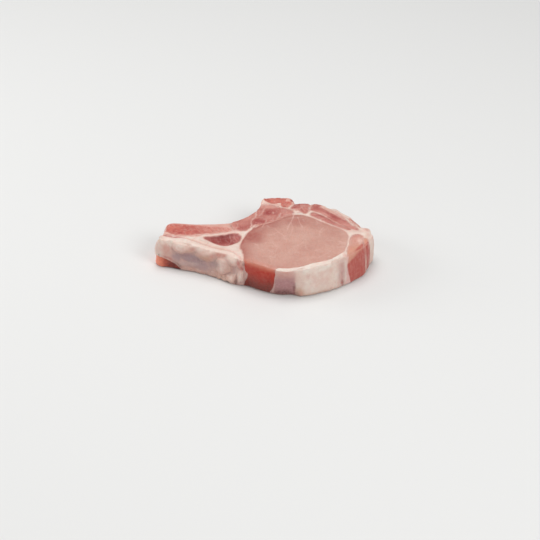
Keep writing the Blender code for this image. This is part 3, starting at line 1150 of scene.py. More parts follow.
    def blush(self, site: Site) -> Array:
        """Pink flushes."""
        cloud = 0.5 + 0.5 * layered_noise(site.points, 9.0, 51)
        side = site.wall * (1.0 - site.front_wall) * 0.6 * smoothstep(0.4, 0.8, cloud)
        top = site.top * strongest(
            (
                *patch_rows(
                    (-60.0, -2.4, 14.0, 1.6, -3.0, 0.6), (-42.0, -3.4, 6.0, 1.4, 4.0, 0.5),
                ),
                Thread(((-50.0, -12.5), (-40.0, -19.0), (-30.0, -24.0), (-22.0, -29.0)), 1.2, 0.35),
                *patch_rows(
                    (-28.0, 3.4, 9.0, 1.6, 8.0, 0.4), (-21.0, 4.6, 3.6, 1.8, 0.0, 0.5),
                    (40.0, 34.0, 8.0, 1.0, -38.0, 0.4), (57.0, 30.0, 9.0, 0.8, -44.0, 0.35),
                    (77.0, 5.0, 3.0, 3.0, 0.0, 0.45), (69.0, 3.0, 6.0, 2.6, 0.0, 0.45),
                    (78.0, 0.0, 2.0, 3.0, 0.0, 0.25), (60.0, -29.0, 2.4, 2.4, 0.0, 0.6),
                ),
            ),
            site.plan,
        )
        front = site.front_wall * strongest(
            patch_rows(
                (-72.5, 17.0, 3.6, 7.0, 8.0, 0.75), (-69.0, 10.5, 4.0, 3.4, -30.0, 0.5),
                (-31.6, 21.6, 7.0, 2.8, 26.0, 1.0), (-38.6, 17.8, 5.4, 2.8, 32.0, 0.85),
                (-58.0, 17.0, 6.0, 1.6, -4.0, 0.6), (-53.0, 20.6, 4.0, 2.0, 30.0, 0.8),
                (-46.0, 5.0, 8.0, 3.4, 0.0, 0.35), (15.0, 20.0, 7.4, 4.6, 0.0, 0.8),
                (-46.0, 13.6, 5.0, 1.8, 0.0, 0.4), (-78.0, 17.0, 3.6, 7.0, 0.0, 0.5),
                (-61.0, 3.0, 5.0, 2.4, 0.0, 0.4), (26.0, 3.0, 4.0, 4.0, 0.0, 0.5),
                (-36.0, 13.0, 3.0, 4.0, -24.0, 0.4), (-23.0, 13.5, 2.4, 5.0, 0.0, 0.6),
                (-17.0, 18.0, 3.6, 5.0, 0.0, 0.9), (41.0, 12.0, 8.0, 6.5, 0.0, 0.4),
                (32.0, 17.0, 2.0, 3.0, 0.0, 0.3), (62.0, 22.0, 2.0, 2.0, 0.0, 0.5),
            ),
            site.front,
        )
        near = np.exp(-((site.edge / 0.9) ** 2)) * site.wall * 0.3 * (1.0 - self.cap(site))
        flush = self.loose(site) * (0.22 + 0.3 * cloud)
        return np.maximum.reduce((top, front, side, 0.55 * self.layer(site), near, flush))

    def membrane_and_shade(self, site: Site) -> Array:
        """The grey membrane of the front wall, and painted shade in the creases between the lumps,
        strongest where the wall faces down.
        """
        folds = self.pillows(site)[1] * self.loose(site)
        soft = strongest(
            patch_rows(
                (-54.5, 11.6, 13.0, 4.0, -6.0, 1.35), (-65.0, 11.0, 4.4, 4.6, -20.0, 1.0),
                (-47.0, 7.4, 9.0, 5.0, 0.0, 0.9), (-57.0, 7.0, 8.0, 4.0, 0.0, 0.6),
                (-37.8, 11.0, 3.8, 6.0, -30.0, 0.75), (-41.0, 4.6, 5.0, 2.6, 0.0, 0.4),
                (-22.0, 12.5, 2.0, 4.0, 0.0, 0.5),
            ),
            site.front,
        )
        # painted shade: the creases darken more where the wall faces down
        beneath = smoothstep(0.1, -0.5, site.normals[:, 2])
        return np.maximum(site.front_wall * soft, (0.15 + 0.35 * beneath) * folds)

    def mauve(self, site: Site) -> Array:
        """The purple film over the cap beside the bare loin, and round its vein."""
        x, z = site.front[:, 0], site.front[:, 1]
        left = smoothstep(6.0, 9.0, x) * smoothstep(24.0, 21.6, x)
        left = left * (1.0 - 0.8 * smoothstep(13.0, 22.0, z))
        vein = Patch((57.4, 12.0), (3.4, 12.5), 0.0, 0.5).over(site.front)
        return site.front_wall * np.maximum(left, vein)

    def deep(self, site: Site) -> Array:
        """Painted shade in the creases, under the lumps and at the foot of the front wall, and in dark
        spots in hollows low on it.
        """
        # painted shade: creases between the lumps, walls that face down, the foot, and spots in hollows
        # and grooves
        folds = self.pillows(site)[1] * self.loose(site)
        beneath = smoothstep(-0.05, -0.6, site.normals[:, 2])
        foot = 0.35 * site.front_wall * smoothstep(3.0, 0.0, site.points[:, 2])
        spots = site.front_wall * strongest(
            patch_rows(
                (14.5, -1.0, 10.0, 7.0, 0.0, 1.5), (22.2, 7.0, 1.1, 5.0, 0.0, 0.75),
                (-65.0, 4.6, 5.0, 2.2, -30.0, 0.6), (-20.6, 1.6, 1.4, 4.0, 8.0, 0.8),
                (-60.0, 13.4, 6.0, 1.2, 0.0, 0.2), (57.8, 4.0, 1.2, 3.0, 8.0, 0.6),
            ),
            site.front,
        )
        return np.maximum.reduce((spots, foot, folds * 0.42 * beneath))

    def loose(self, site: Site) -> Array:
        """1 on the lumpy left part of the front wall."""
        x = site.front[:, 0]
        below_crest = smoothstep(23.6, 20.0, site.points[:, 2])
        return site.front_wall * below_crest * smoothstep(-13.0, -17.0, x) * smoothstep(-74.0, -66.0, x)

    def blood(self, site: Site) -> Array:
        """Red spots and lines."""
        top = site.top * np.maximum(
            self.layer(site) * 0.75 * smoothstep(-56.0, -66.0, site.plan[:, 0]),
            strongest(
                (
                    Thread(((69.4, 17.2), (72.0, 13.4), (73.6, 10.6)), 0.8, 0.6),
                    Thread(((-73.0, -3.2), (-69.0, -4.4), (-66.0, -4.6)), 1.1, 0.7, 0.3),
                    Thread(((-61.0, -5.0), (-56.0, -6.0)), 0.6, 0.35),
                ),
                site.plan,
            ),
        )
        front = site.front_wall * strongest(
            (
                *patch_rows(
                    (-18.4, 20.0, 1.5, 1.9, 20.0, 0.65), (-16.0, 16.8, 1.8, 1.6, 30.0, 0.75),
                    (-16.8, 22.2, 1.2, 1.0, 0.0, 0.4), (57.6, 3.6, 1.0, 2.6, 8.0, 0.55),
                ),
                Thread(((57.3, 6.0), (57.0, 13.0)), 0.5, 0.3),
                Patch((-72.0, 9.2), (5.0, 1.4), -26.0, 0.5),
                Thread(((22.0, 2.0), (22.4, 10.0)), 0.5, 0.3),
            ),
            site.front,
        )
        return np.maximum(top, front)


@dataclass
class LoinEye(Piece):
    """The large pale muscle, whose side is bare on the front wall.

    Attributes:
        crown: how far the cut face domes between its borders.
        middle: the middle of its cut face.
        veins: fine fat threads of the cut face.
        flushes: darker and redder places of the cut face.
    """

    node: str = "loin_eye"
    tissue: Tissue = Tissue.PALE_LEAN
    title: str = "loin_eye_muscle"
    crown: float = 0.5
    middle: Place = (22.0, -8.0)
    veins: tuple[Mark, ...] = (
        Thread(((23.0, 26.4), (21.6, 20.0), (19.8, 13.0), (18.2, 7.0), (17.2, 2.0)), 0.42, 0.98),
        Thread(((25.6, 22.6), (26.6, 17.0), (27.6, 11.0), (29.0, 7.0)), 0.4, 0.78),
        Thread(((30.0, 19.0), (30.4, 15.0)), 0.7, 0.65),
        Thread(((20.4, 14.0), (21.5, 6.0), (20.6, 0.0), (19.0, -7.0)), 0.36, 0.59),
        Thread(((8.0, 4.0), (11.0, 0.0), (14.5, -5.0), (16.0, -10.0)), 0.36, 0.65),
        Thread(((11.0, 0.0), (7.0, -3.0), (3.0, -4.0)), 0.34, 0.45),
        Thread(((14.5, -5.0), (18.0, -9.0), (20.0, -14.0)), 0.34, 0.52),
        Thread(((1.0, 16.4), (-0.6, 12.0), (-1.6, 9.0)), 0.5, 0.78),
        Thread(((2.0, 12.0), (4.0, 8.0), (9.0, 5.0)), 0.34, 0.45),
        Thread(((39.6, 19.0), (40.4, 15.0), (39.6, 11.0)), 0.36, 0.52),
        Thread(((45.0, 8.0), (42.0, 3.0), (41.5, -4.0)), 0.45, 0.52),
        Thread(((-8.0, -14.0), (-5.0, -17.0), (-4.0, -21.0), (0.0, -24.0)), 0.36, 0.52),
        Thread(((30.0, -18.0), (31.5, -23.0), (36.0, -25.5), (41.0, -23.0)), 0.8, 0.29),
        Thread(((56.4, -11.4), (59.0, -13.0), (62.4, -12.4)), 0.5, 1.0),
        Thread(((55.0, -15.6), (58.0, -14.0), (61.6, -15.6)), 0.45, 0.91),
        Thread(((56.0, -19.0), (59.5, -18.0)), 0.4, 0.65),
        Thread(((16.0, -10.0), (24.0, -12.0), (31.0, -10.0)), 0.34, 0.33),
        Thread(((6.0, -14.0), (10.0, -20.0), (8.0, -27.0)), 0.34, 0.39),
        Thread(((22.0, -20.0), (26.0, -28.0), (24.0, -34.0)), 0.34, 0.33),
        Thread(((40.0, -34.0), (46.0, -28.0), (50.0, -24.0)), 0.4, 0.33),
        Patch((24.5, 28.0), (3.0, 1.2), 0.0, 1.0),
    )
    flushes: tuple[Mark, ...] = patch_rows(
        (-10.0, -3.5, 11.0, 13.0, 28.0, 1.0), (-3.0, 4.0, 12.0, 8.0, 45.0, 0.65),
        (8.0, 12.0, 13.0, 8.0, 35.0, 0.6), (23.0, 17.0, 16.0, 9.0, 0.0, 0.62),
        (38.0, 12.0, 12.0, 7.0, -38.0, 0.3), (32.0, -21.0, 7.0, 5.0, 20.0, 0.22),
        (52.0, 0.0, 9.0, 7.0, -40.0, 0.22), (46.0, -8.0, 6.0, 9.0, 0.0, 0.12),
    )

    def bare_edge(self, front: Array) -> Array:
        """How far each place lies inside the curved borders of the bare side."""
        heights = [0.0, 4.0, 8.0, 13.0, 16.0, 24.0]
        left = np.interp(front[:, 1], heights, [-15.2, -14.0, -12.8, -11.6, -13.8, -14.4])
        heights = [0.0, 3.0, 8.0, 14.0, 19.0, 24.0]
        right = np.interp(front[:, 1], heights, [4.0, 5.0, 7.2, 8.4, 8.8, 7.6])
        return np.minimum(front[:, 0] - left, right - front[:, 0])

    def relief(self, site: Site) -> Array:
        """A low dome with soft dents, and long fibres along the bare side."""
        points = site.points
        dome = self.crown * smoothstep(0.0, 9.0, site.edge)
        dents = 0.22 * layered_noise(points, 14.0, 21) + 0.06 * layered_noise(points, 2.4, 22)
        face = (site.top * dome) + dents * smoothstep(0.0, 2.0, site.edge) * (site.top + site.wall)
        along = np.column_stack((points[:, 0] - 0.35 * points[:, 2], 0.2 * points[:, 2]))
        fibres = 0.12 * layered_noise(along, 1.8, 23) * site.front_wall
        belly = 0.5 * site.front_wall * Patch((-2.0, 12.0), (10.0, 11.0)).over(site.front)
        return face + fibres + belly

    def masks(self, site: Site) -> dict[Mask, Array]:
        """Veins and flushes of the cut face, and the red of the bare side, with painted shade towards
        the board.
        """
        front, points = site.front, site.points
        fringe = 0.25 * site.fringe(0.5, 26) * smoothstep(0.8, 0.2, EYE_MERGE.over(site.plan))
        sinew = site.top * np.maximum(strongest(self.veins, site.plan), fringe)
        strands = strongest(
            (
                Thread(((-15.8, 3.0), (-14.6, 8.0), (-12.0, 14.0)), 0.7, 0.9),
                Thread(((-17.0, 5.0), (-16.0, 10.0), (-13.6, 15.0)), 0.7, 0.8),
            ),
            front,
        )
        inside = self.bare_edge(front)
        fat = site.front_wall * smoothstep(0.3, -0.3, inside)
        away = site.plan - np.array(self.middle)
        turn = np.arctan2(away[:, 1], away[:, 0]) - math.radians(150.0)
        border = np.exp(-site.edge / 7.0) * (0.5 + 0.55 * np.cos(turn))
        left = 1.15 * np.exp(-site.edge / 6.5) * smoothstep(0.8, 0.99, np.cos(turn - math.radians(20.0)))
        deep = site.cut * np.maximum.reduce((strongest(self.flushes, site.plan), border, left))
        streaks = 0.7 * layered_noise(points, 6.0, 24) + 0.35 * layered_noise(points, 2.2, 25)
        height = points[:, 2] + streaks
        # the bare side: orange pink at the crest, then red, then brown that darkens towards the board,
        # partly painted shade at its foot
        bare = smoothstep(-30.0, -36.0, points[:, 1]) * smoothstep(10.0, 6.0, front[:, 0])
        crest = np.maximum(site.wall, site.brim) * bare * smoothstep(25.8, 22.6, height)
        slope = points[:, 1] + 0.5 * (points[:, 0] + 14.0)
        crest = np.maximum(crest, 0.45 * site.top * bare * smoothstep(-33.0, -39.0, slope))
        red = smoothstep(24.2, 19.0, height) * site.wall
        return {
            Mask.DARK_AND_SHADE: deep,
            Mask.BLUSH: crest,
            Mask.BLOOD: red,
            # the bare side's brown, darkening towards the board as painted shade
            Mask.TAN_AND_SHADE: site.wall * smoothstep(19.0, 3.0, height),
            Mask.SINEW: np.maximum(sinew, site.front_wall * strands),
            Mask.CREAM_AND_HIGHLIGHT: fat,
        }


@dataclass
class RibBone(Piece):
    """The rib, sawn along: a spongy red core in a rim of pale hard bone.

    Attributes:
        core: outline of the spongy core on the cut face.
        rim: how far the hard rim stands over the core.
    """

    node: str = "rib_bone"
    tissue: Tissue = Tissue.MARROW
    title: str = "rib_bone_piece"
    core: tuple[Place, ...] = (
        (-73.8, 3.0), (-71.5, 0.6), (-66.0, -1.4), (-58.0, -2.2), (-51.0, -1.4), (-44.0, 0.2),
        (-38.0, 1.2), (-33.0, 2.0), (-27.5, 3.4), (-24.8, 5.4), (-28.0, 7.4), (-36.0, 9.0),
        (-45.0, 10.6), (-55.0, 11.8), (-66.0, 12.6), (-71.5, 12.0), (-74.4, 8.0),
    )
    rim: float = 0.35

    def relief(self, site: Site) -> Array:
        """A rounded rim round a pitted core."""
        depth = depth_inside(site.plan, self.core)
        sunk = -self.rim * smoothstep(-0.6, 1.0, depth)
        pits = -0.35 * smoothstep(0.1, 0.7, layered_noise(site.points, 1.5, 27, 2))
        pits = pits * smoothstep(0.0, 1.5, depth)
        wavy = 0.2 * layered_noise(site.points, 4.0, 28)
        end = -0.9 * site.wall * Patch((-76.0, 5.0), (4.0, 5.0)).over(site.plan)
        return site.top * (sunk + pits) + wavy * smoothstep(0.0, 1.0, site.edge) + end

    def masks(self, site: Site) -> dict[Mask, Array]:
        """The core with its grains, the rim's blush and the paler right-hand part."""
        depth = depth_inside(site.plan, self.core) + 0.8 * layered_noise(site.points, 2.0, 61, 2)
        core = site.top * smoothstep(-0.6, 0.7, depth)
        pale = 1.2 * smoothstep(-58.0, -30.0, site.points[:, 0])
        cloud = 0.5 + 0.5 * layered_noise(site.points, 6.0, 29)
        end = site.wall * smoothstep(-68.0, -74.0, site.points[:, 0])
        hard = site.top * smoothstep(0.3, -1.0, depth)
        near_side = smoothstep(3.0, 0.0, site.plan[:, 1])
        grains = smoothstep(0.15, 0.65, layered_noise(site.points, 1.3, 62, 2))
        border = np.exp(-((depth_inside(site.plan, self.core) - 1.2) ** 2) / 1.6)
        grains = core * grains * (0.6 + 0.5 * border)
        blotches = smoothstep(0.2, 0.8, layered_noise(site.points, 2.2, 63, 2))
        dark = core * np.maximum(
            0.8 * blotches * smoothstep(4.0, 0.0, depth),
            strongest(
                patch_rows(
                    (-63.0, 1.4, 2.0, 1.6, 0.0, 0.8), (-50.5, 2.6, 3.0, 1.8, 0.0, 0.7),
                    (-67.5, 4.0, 2.6, 3.0, 0.0, 0.5), (-57.0, 8.0, 6.0, 2.0, 0.0, 0.3),
                ),
                site.plan,
            ),
        )
        return {
            Mask.CUT: core,
            Mask.TAN_AND_SHADE: site.wall * cloud * 0.6,
            Mask.CORE: core,
            Mask.BLUSH: np.maximum(core * pale * 0.8, end * 0.5),
            Mask.DARK_AND_SHADE: dark,
            Mask.FLESH: core * Patch((-69.0, 6.6), (6.0, 6.0)).over(site.plan),
            Mask.CREAM_AND_HIGHLIGHT: np.maximum.reduce(
                (hard * (0.2 + 0.45 * near_side * cloud), 0.6 * end * cloud, 0.55 * grains)
            ),
        }


@dataclass
class FeatherBone(Piece):
    """The tip of the backbone: red cut bone in two lobes with a pale rim.

    Attributes:
        lobes: outlines of the two red lobes on the cut face.
        spots: dark red places.
    """

    node: str = "feather_bone"
    tissue: Tissue = Tissue.MARROW
    title: str = "feather_bone_piece"
    lobes: tuple[tuple[Place, ...], ...] = (
        ((-0.6, 53.5), (-0.4, 49.4), (0.6, 46.4), (3.4, 44.0), (8.5, 43.2), (13.0, 44.0),
         (16.4, 46.4), (17.2, 50.0), (17.6, 54.6), (9.0, 55.0), (1.0, 54.4)),
        ((13.0, 44.4), (13.4, 40.0), (15.2, 37.4), (18.4, 38.6), (20.4, 41.6), (21.0, 44.8),
         (19.6, 47.0), (16.6, 46.8)),
    )
    spots: tuple[Mark, ...] = patch_rows(
        (21.4, 47.6, 1.3, 2.2, 0.0, 1.0), (15.8, 39.6, 1.4, 1.8, 0.0, 0.5),
        (3.0, 48.0, 1.6, 2.6, 0.0, 0.3), (12.5, 50.5, 3.0, 1.6, 0.0, 0.3),
        (17.5, 42.5, 1.0, 2.0, -30.0, 0.35),
    )

    def relief(self, site: Site) -> Array:
        """A pale rim that stands over the pitted lobes."""
        depth = np.maximum(*(depth_inside(site.plan, lobe) for lobe in self.lobes))
        pits = -0.3 * smoothstep(0.1, 0.7, layered_noise(site.points, 1.7, 33, 2))
        face = -0.4 * smoothstep(-0.6, 0.8, depth) + pits * smoothstep(0.0, 1.2, depth)
        rough = 0.3 * layered_noise(site.points, 4.0, 34) * smoothstep(0.0, 1.0, site.edge)
        return site.top * face + rough

    def masks(self, site: Site) -> dict[Mask, Array]:
        """The red lobes, the rim, paler at its left with painted light, and the dark spots."""
        depth = np.maximum(*(depth_inside(site.plan, lobe) for lobe in self.lobes))
        depth = depth + 0.6 * layered_noise(site.points, 2.0, 65, 2)
        core = site.top * smoothstep(-0.6, 0.7, depth)
        cloud = 0.5 + 0.5 * layered_noise(site.points, 5.0, 35)
        plan = site.plan
        hard = site.top * smoothstep(0.3, -0.6, depth)
        right = smoothstep(15.5, 18.5, plan[:, 0])
        # painted light: the rim is paler at its left edge, where light from the left falls
        left = 1.5 * smoothstep(3.0, 0.0, plan[:, 0])
        grains = smoothstep(0.25, 0.75, layered_noise(site.points, 1.2, 64, 2))
        return {
            Mask.CUT: core,
            Mask.TAN_AND_SHADE: (site.wall + site.under) * cloud * 0.7,
            Mask.CORE: core,
            Mask.FLESH: core * (0.45 + 0.4 * cloud),
            Mask.BLUSH: np.maximum.reduce(
                (
                    0.3 * core * cloud,
                    0.7 * hard * right,
                    core * Patch((17.0, 41.6), (3.0, 3.6)).over(plan),
                )
            ),
            Mask.CREAM_AND_HIGHLIGHT: np.maximum(
                hard * (1.0 - 0.7 * right) * (0.6 + 0.4 * np.maximum(cloud, left)), 0.35 * core * grains
            ),
            Mask.BLOOD: site.top * strongest(self.spots, plan),
        }


@dataclass
class RibPocket(Piece):
    """The sunken dark muscle between the ribs, marbled at its right.

    Attributes:
        hollow: how far it lies under its rim.
        threads: threads of fat in it.
    """

    node: str = "rib_lean"
    tissue: Tissue = Tissue.DARK_LEAN
    title: str = "rib_pocket_muscle"
    hollow: float = 1.3
    threads: tuple[Mark, ...] = (
        Thread(((-25.6, 0.0), (-24.4, -4.0), (-24.6, -8.0), (-27.0, -12.5), (-29.0, -16.0)), 0.5, 0.75),
        Thread(((-22.6, 1.0), (-21.0, -4.5), (-19.0, -8.5), (-18.5, -11.0)), 0.45, 0.7),
        Thread(((-24.4, -4.0), (-21.6, -7.5), (-20.6, -12.0)), 0.4, 0.55),
        Thread(((-28.6, -4.0), (-26.8, -8.0), (-24.6, -9.0)), 0.4, 0.45),
        Thread(((-20.0, -1.0), (-18.6, -4.0)), 0.4, 0.5),
        Thread(((-29.0, -10.0), (-28.4, -14.0)), 0.5, 0.45),
        Thread(((-40.4, -4.0), (-39.6, -7.0)), 0.4, 0.35),
        Thread(((-37.0, -3.4), (-36.0, -6.4)), 0.35, 0.25),
        Thread(((-36.0, -9.0), (-35.0, -13.0)), 0.35, 0.3),
    )

    def relief(self, site: Site) -> Array:
        """A hollow that falls steeply from its rim."""
        fall = -self.hollow * smoothstep(0.0, 2.4, site.edge)
        ridges = 0.35 * summed(self.threads, site.plan) * smoothstep(0.5, 2.0, site.edge)
        return site.top * (fall + ridges + 0.15 * layered_noise(site.points, 3.0, 36))

    def masks(self, site: Site) -> dict[Mask, Array]:
        """Pale marbling towards the right, dark flesh above with painted shade under the rib's rim, and
        the pale rim.
        """
        plan = site.plan
        right = smoothstep(-26.5, -20.0, plan[:, 0])
        low = smoothstep(-8.0, -14.0, plan[:, 1])
        fibres = np.column_stack((plan[:, 0] + 0.3 * plan[:, 1], 0.35 * plan[:, 1]))
        webbing = smoothstep(0.2, 0.7, layered_noise(fibres, 1.5, 37))
        webbing = webbing * (0.25 + 0.35 * np.maximum(right, low))
        sinew = np.maximum(strongest(self.threads, plan), webbing)
        return {
            Mask.BLUSH: np.maximum.reduce(
                (right * 0.8, 0.75 * low, 0.45 * smoothstep(-37.0, -43.0, plan[:, 0]))
            ),
            # darker flesh under the rib's rim, and painted shade of the hollow there
            Mask.DARK_AND_SHADE: strongest(
                patch_rows(
                    (-30.0, -4.4, 8.0, 4.6, 15.0, 1.0), (-23.6, -6.5, 3.0, 4.6, 0.0, 0.7),
                ),
                plan,
            ),
            Mask.SINEW: np.maximum(0.75 * sinew, 0.6 * site.fringe(0.9, 66)) * site.top,
        }


@dataclass
class RibMeat(Piece):
    """The wedge of red meat left under the end of the rib."""

    node: str = "rib_meat"
    title: str = "rib_meat_wedge"

    def relief(self, site: Site) -> Array:
        """A soft bulge with fine fibres."""
        lift = smoothstep(0.0, 1.5, site.edge)
        return site.wall * lift * (
            0.3 * layered_noise(site.points, 5.0, 38) + 0.1 * layered_noise(site.points, 1.8, 39)
        )

    def masks(self, site: Site) -> dict[Mask, Array]:
        """Orange red at the end, dark to the right."""
        x = site.points[:, 0] + 1.5 * layered_noise(site.points, 4.0, 40)
        return {
            Mask.BLUSH: smoothstep(-73.5, -79.5, x),
            Mask.DARK_AND_SHADE: smoothstep(-77.0, -69.0, x),
            Mask.SINEW: 0.3 * site.fringe(0.8, 67),
        }


@dataclass
class BandedLean(Piece):
    """A group of small muscles in one node, parted by pale seams.

    Attributes:
        seams: the pale seams of the cut face.
        dark: darker muscles or parts of them.
        light: paler ones.
        tawny: orange ones.
        fatty: strips of fat on the cut face.
        skirt: how clearly a pale film edges its rim.
        ruddy: how red its side is.
        bulge: how far the meat stands out between its borders.
        seed: picks the pattern of its unevenness.
    """

    seams: tuple[Mark, ...] = ()
    dark: tuple[Mark, ...] = ()
    light: tuple[Mark, ...] = ()
    tawny: tuple[Mark, ...] = ()
    fatty: tuple[Mark, ...] = ()
    skirt: float = 1.0
    ruddy: float = 0.0
    bulge: float = 0.55
    seed: int = 60

    def relief(self, site: Site) -> Array:
        """Bulging meat between sunken seams."""
        points = site.points
        lift = smoothstep(0.0, 2.2, site.edge)
        face = self.bulge * lift - 0.5 * strongest(self.seams, site.plan)
        soft = 0.22 * layered_noise(points, 3.4, self.seed) * lift
        sides = 0.4 * layered_noise(points, 6.0, self.seed + 1)
        sides = sides + 0.15 * layered_noise(points, 2.4, self.seed)
        return site.top * face + soft + site.wall * lift * (sides + 0.2)

    def masks(self, site: Site) -> dict[Mask, Array]:
        """Seams, dark and pale muscles, and films along the borders."""
        plan = site.plan
        cut = site.cut
        cloud = 0.5 + 0.5 * layered_noise(site.points, 6.0, self.seed + 2)
        fibres = smoothstep(0.2, 0.7, layered_noise(site.points, 1.6, self.seed + 3)) * 0.45
        films = self.skirt * site.wall * 0.5 * smoothstep(0.45, 0.8, cloud)
        brim = 0.6 * site.brim * smoothstep(1.0, 2.0, site.edge) * self.skirt
        merged = smoothstep(0.8, 0.2, np.maximum(EYE_MERGE.over(plan), CAP_MERGE.over(plan)))
        fringe = 0.5 * site.fringe(0.8, self.seed + 4) * merged
        sinew = np.maximum.reduce((site.top * strongest(self.seams, plan), fringe, films, brim))
        side = site.wall * (self.ruddy + 0.5 * self.skirt * cloud)
        return {
            Mask.DARK_AND_SHADE: np.maximum(cut * strongest(self.dark, plan), side),
            Mask.CREAM_AND_HIGHLIGHT: np.maximum(site.top, site.brim) * strongest(self.fatty, plan),
            Mask.BLUSH: np.maximum(cut * strongest(self.light, plan), cut * fibres),
            Mask.TAN_AND_SHADE: cut * strongest(self.tawny, plan),
            Mask.SINEW: sinew,
        }


@dataclass
class BellyLean(Piece):
    """The end muscle, pale on the cut face and salmon red with fibres on its side."""

    node: str = "belly_lean"
    title: str = "belly_end_muscle"

    def relief(self, site: Site) -> Array:
        """A soft bulge, with the long fibres of its side."""
        points = site.points
        lift = smoothstep(0.0, 1.8, site.edge)
        turn = np.column_stack((points[:, 1] + points[:, 0], 0.12 * points[:, 2]))
        fibres = 0.14 * layered_noise(turn, 2.2, 71)
        soft = 0.25 * layered_noise(points, 6.0, 72)
        return lift * (site.top * 0.45 + site.wall * (fibres + 0.3) + soft)

    def masks(self, site: Site) -> dict[Mask, Array]:
        """The red side, its fibres, the orange bend and the pale borders."""
        points, plan = site.points, site.plan
        height = points[:, 2] + 1.2 * layered_noise(points, 5.0, 73)
        bound = np.interp(plan[:, 0], [61.0, 65.0, 70.0], [17.5, 20.5, 23.5])
        side = site.wall * smoothstep(bound + 1.0, bound - 2.2, height)
        past = plan[:, 1] + 24.0 - 1.6 * (plan[:, 0] - 66.0)
        corner = smoothstep(65.0, 69.0, plan[:, 0])
        side = np.maximum(side, 0.85 * site.top * smoothstep(1.0, -1.6, past) * corner)
        bend = np.maximum(
            site.top * smoothstep(-12.0, -20.0, plan[:, 1] - 0.5 * (plan[:, 0] - 68.0)),
            site.wall * smoothstep(bound - 3.0, bound, height),
        )
        turn = np.column_stack((points[:, 1] + points[:, 0], 0.1 * points[:, 2]))
        lines = smoothstep(0.1, 0.8, layered_noise(turn, 1.4, 74)) * site.wall * 0.3
        spots = site.top * strongest(
            (
                Thread(((73.4, -5.0), (72.0, -8.0), (71.6, -12.0), (70.6, -14.5)), 0.7, 0.9),
                Thread(((70.6, -7.0), (72.2, -8.4), (73.6, -8.0)), 0.6, 0.8),
                Patch((71.6, -9.6), (2.2, 2.8), -20.0, 1.3),
            ),
            plan,
        )
        front = site.front
        border = np.interp(front[:, 1], [0.0, 5.0, 10.0, 17.0, 24.0], [64.4, 63.2, 61.8, 61.4, 62.4])
        fat = site.wall * smoothstep(0.4, -0.4, front[:, 0] - border)
        fat = fat * smoothstep(-24.0, -26.0, plan[:, 1])
        return {
            Mask.TAN_AND_SHADE: bend,
            Mask.DARK_AND_SHADE: np.maximum(side, 0.3 * site.top * smoothstep(-8.0, -2.0, plan[:, 1])),
            Mask.BLUSH: lines,
            Mask.SINEW: np.maximum(0.5 * site.fringe(0.8, 75) * (site.top + 0.5 * site.wall), spots),
            Mask.CREAM_AND_HIGHLIGHT: fat,
        }


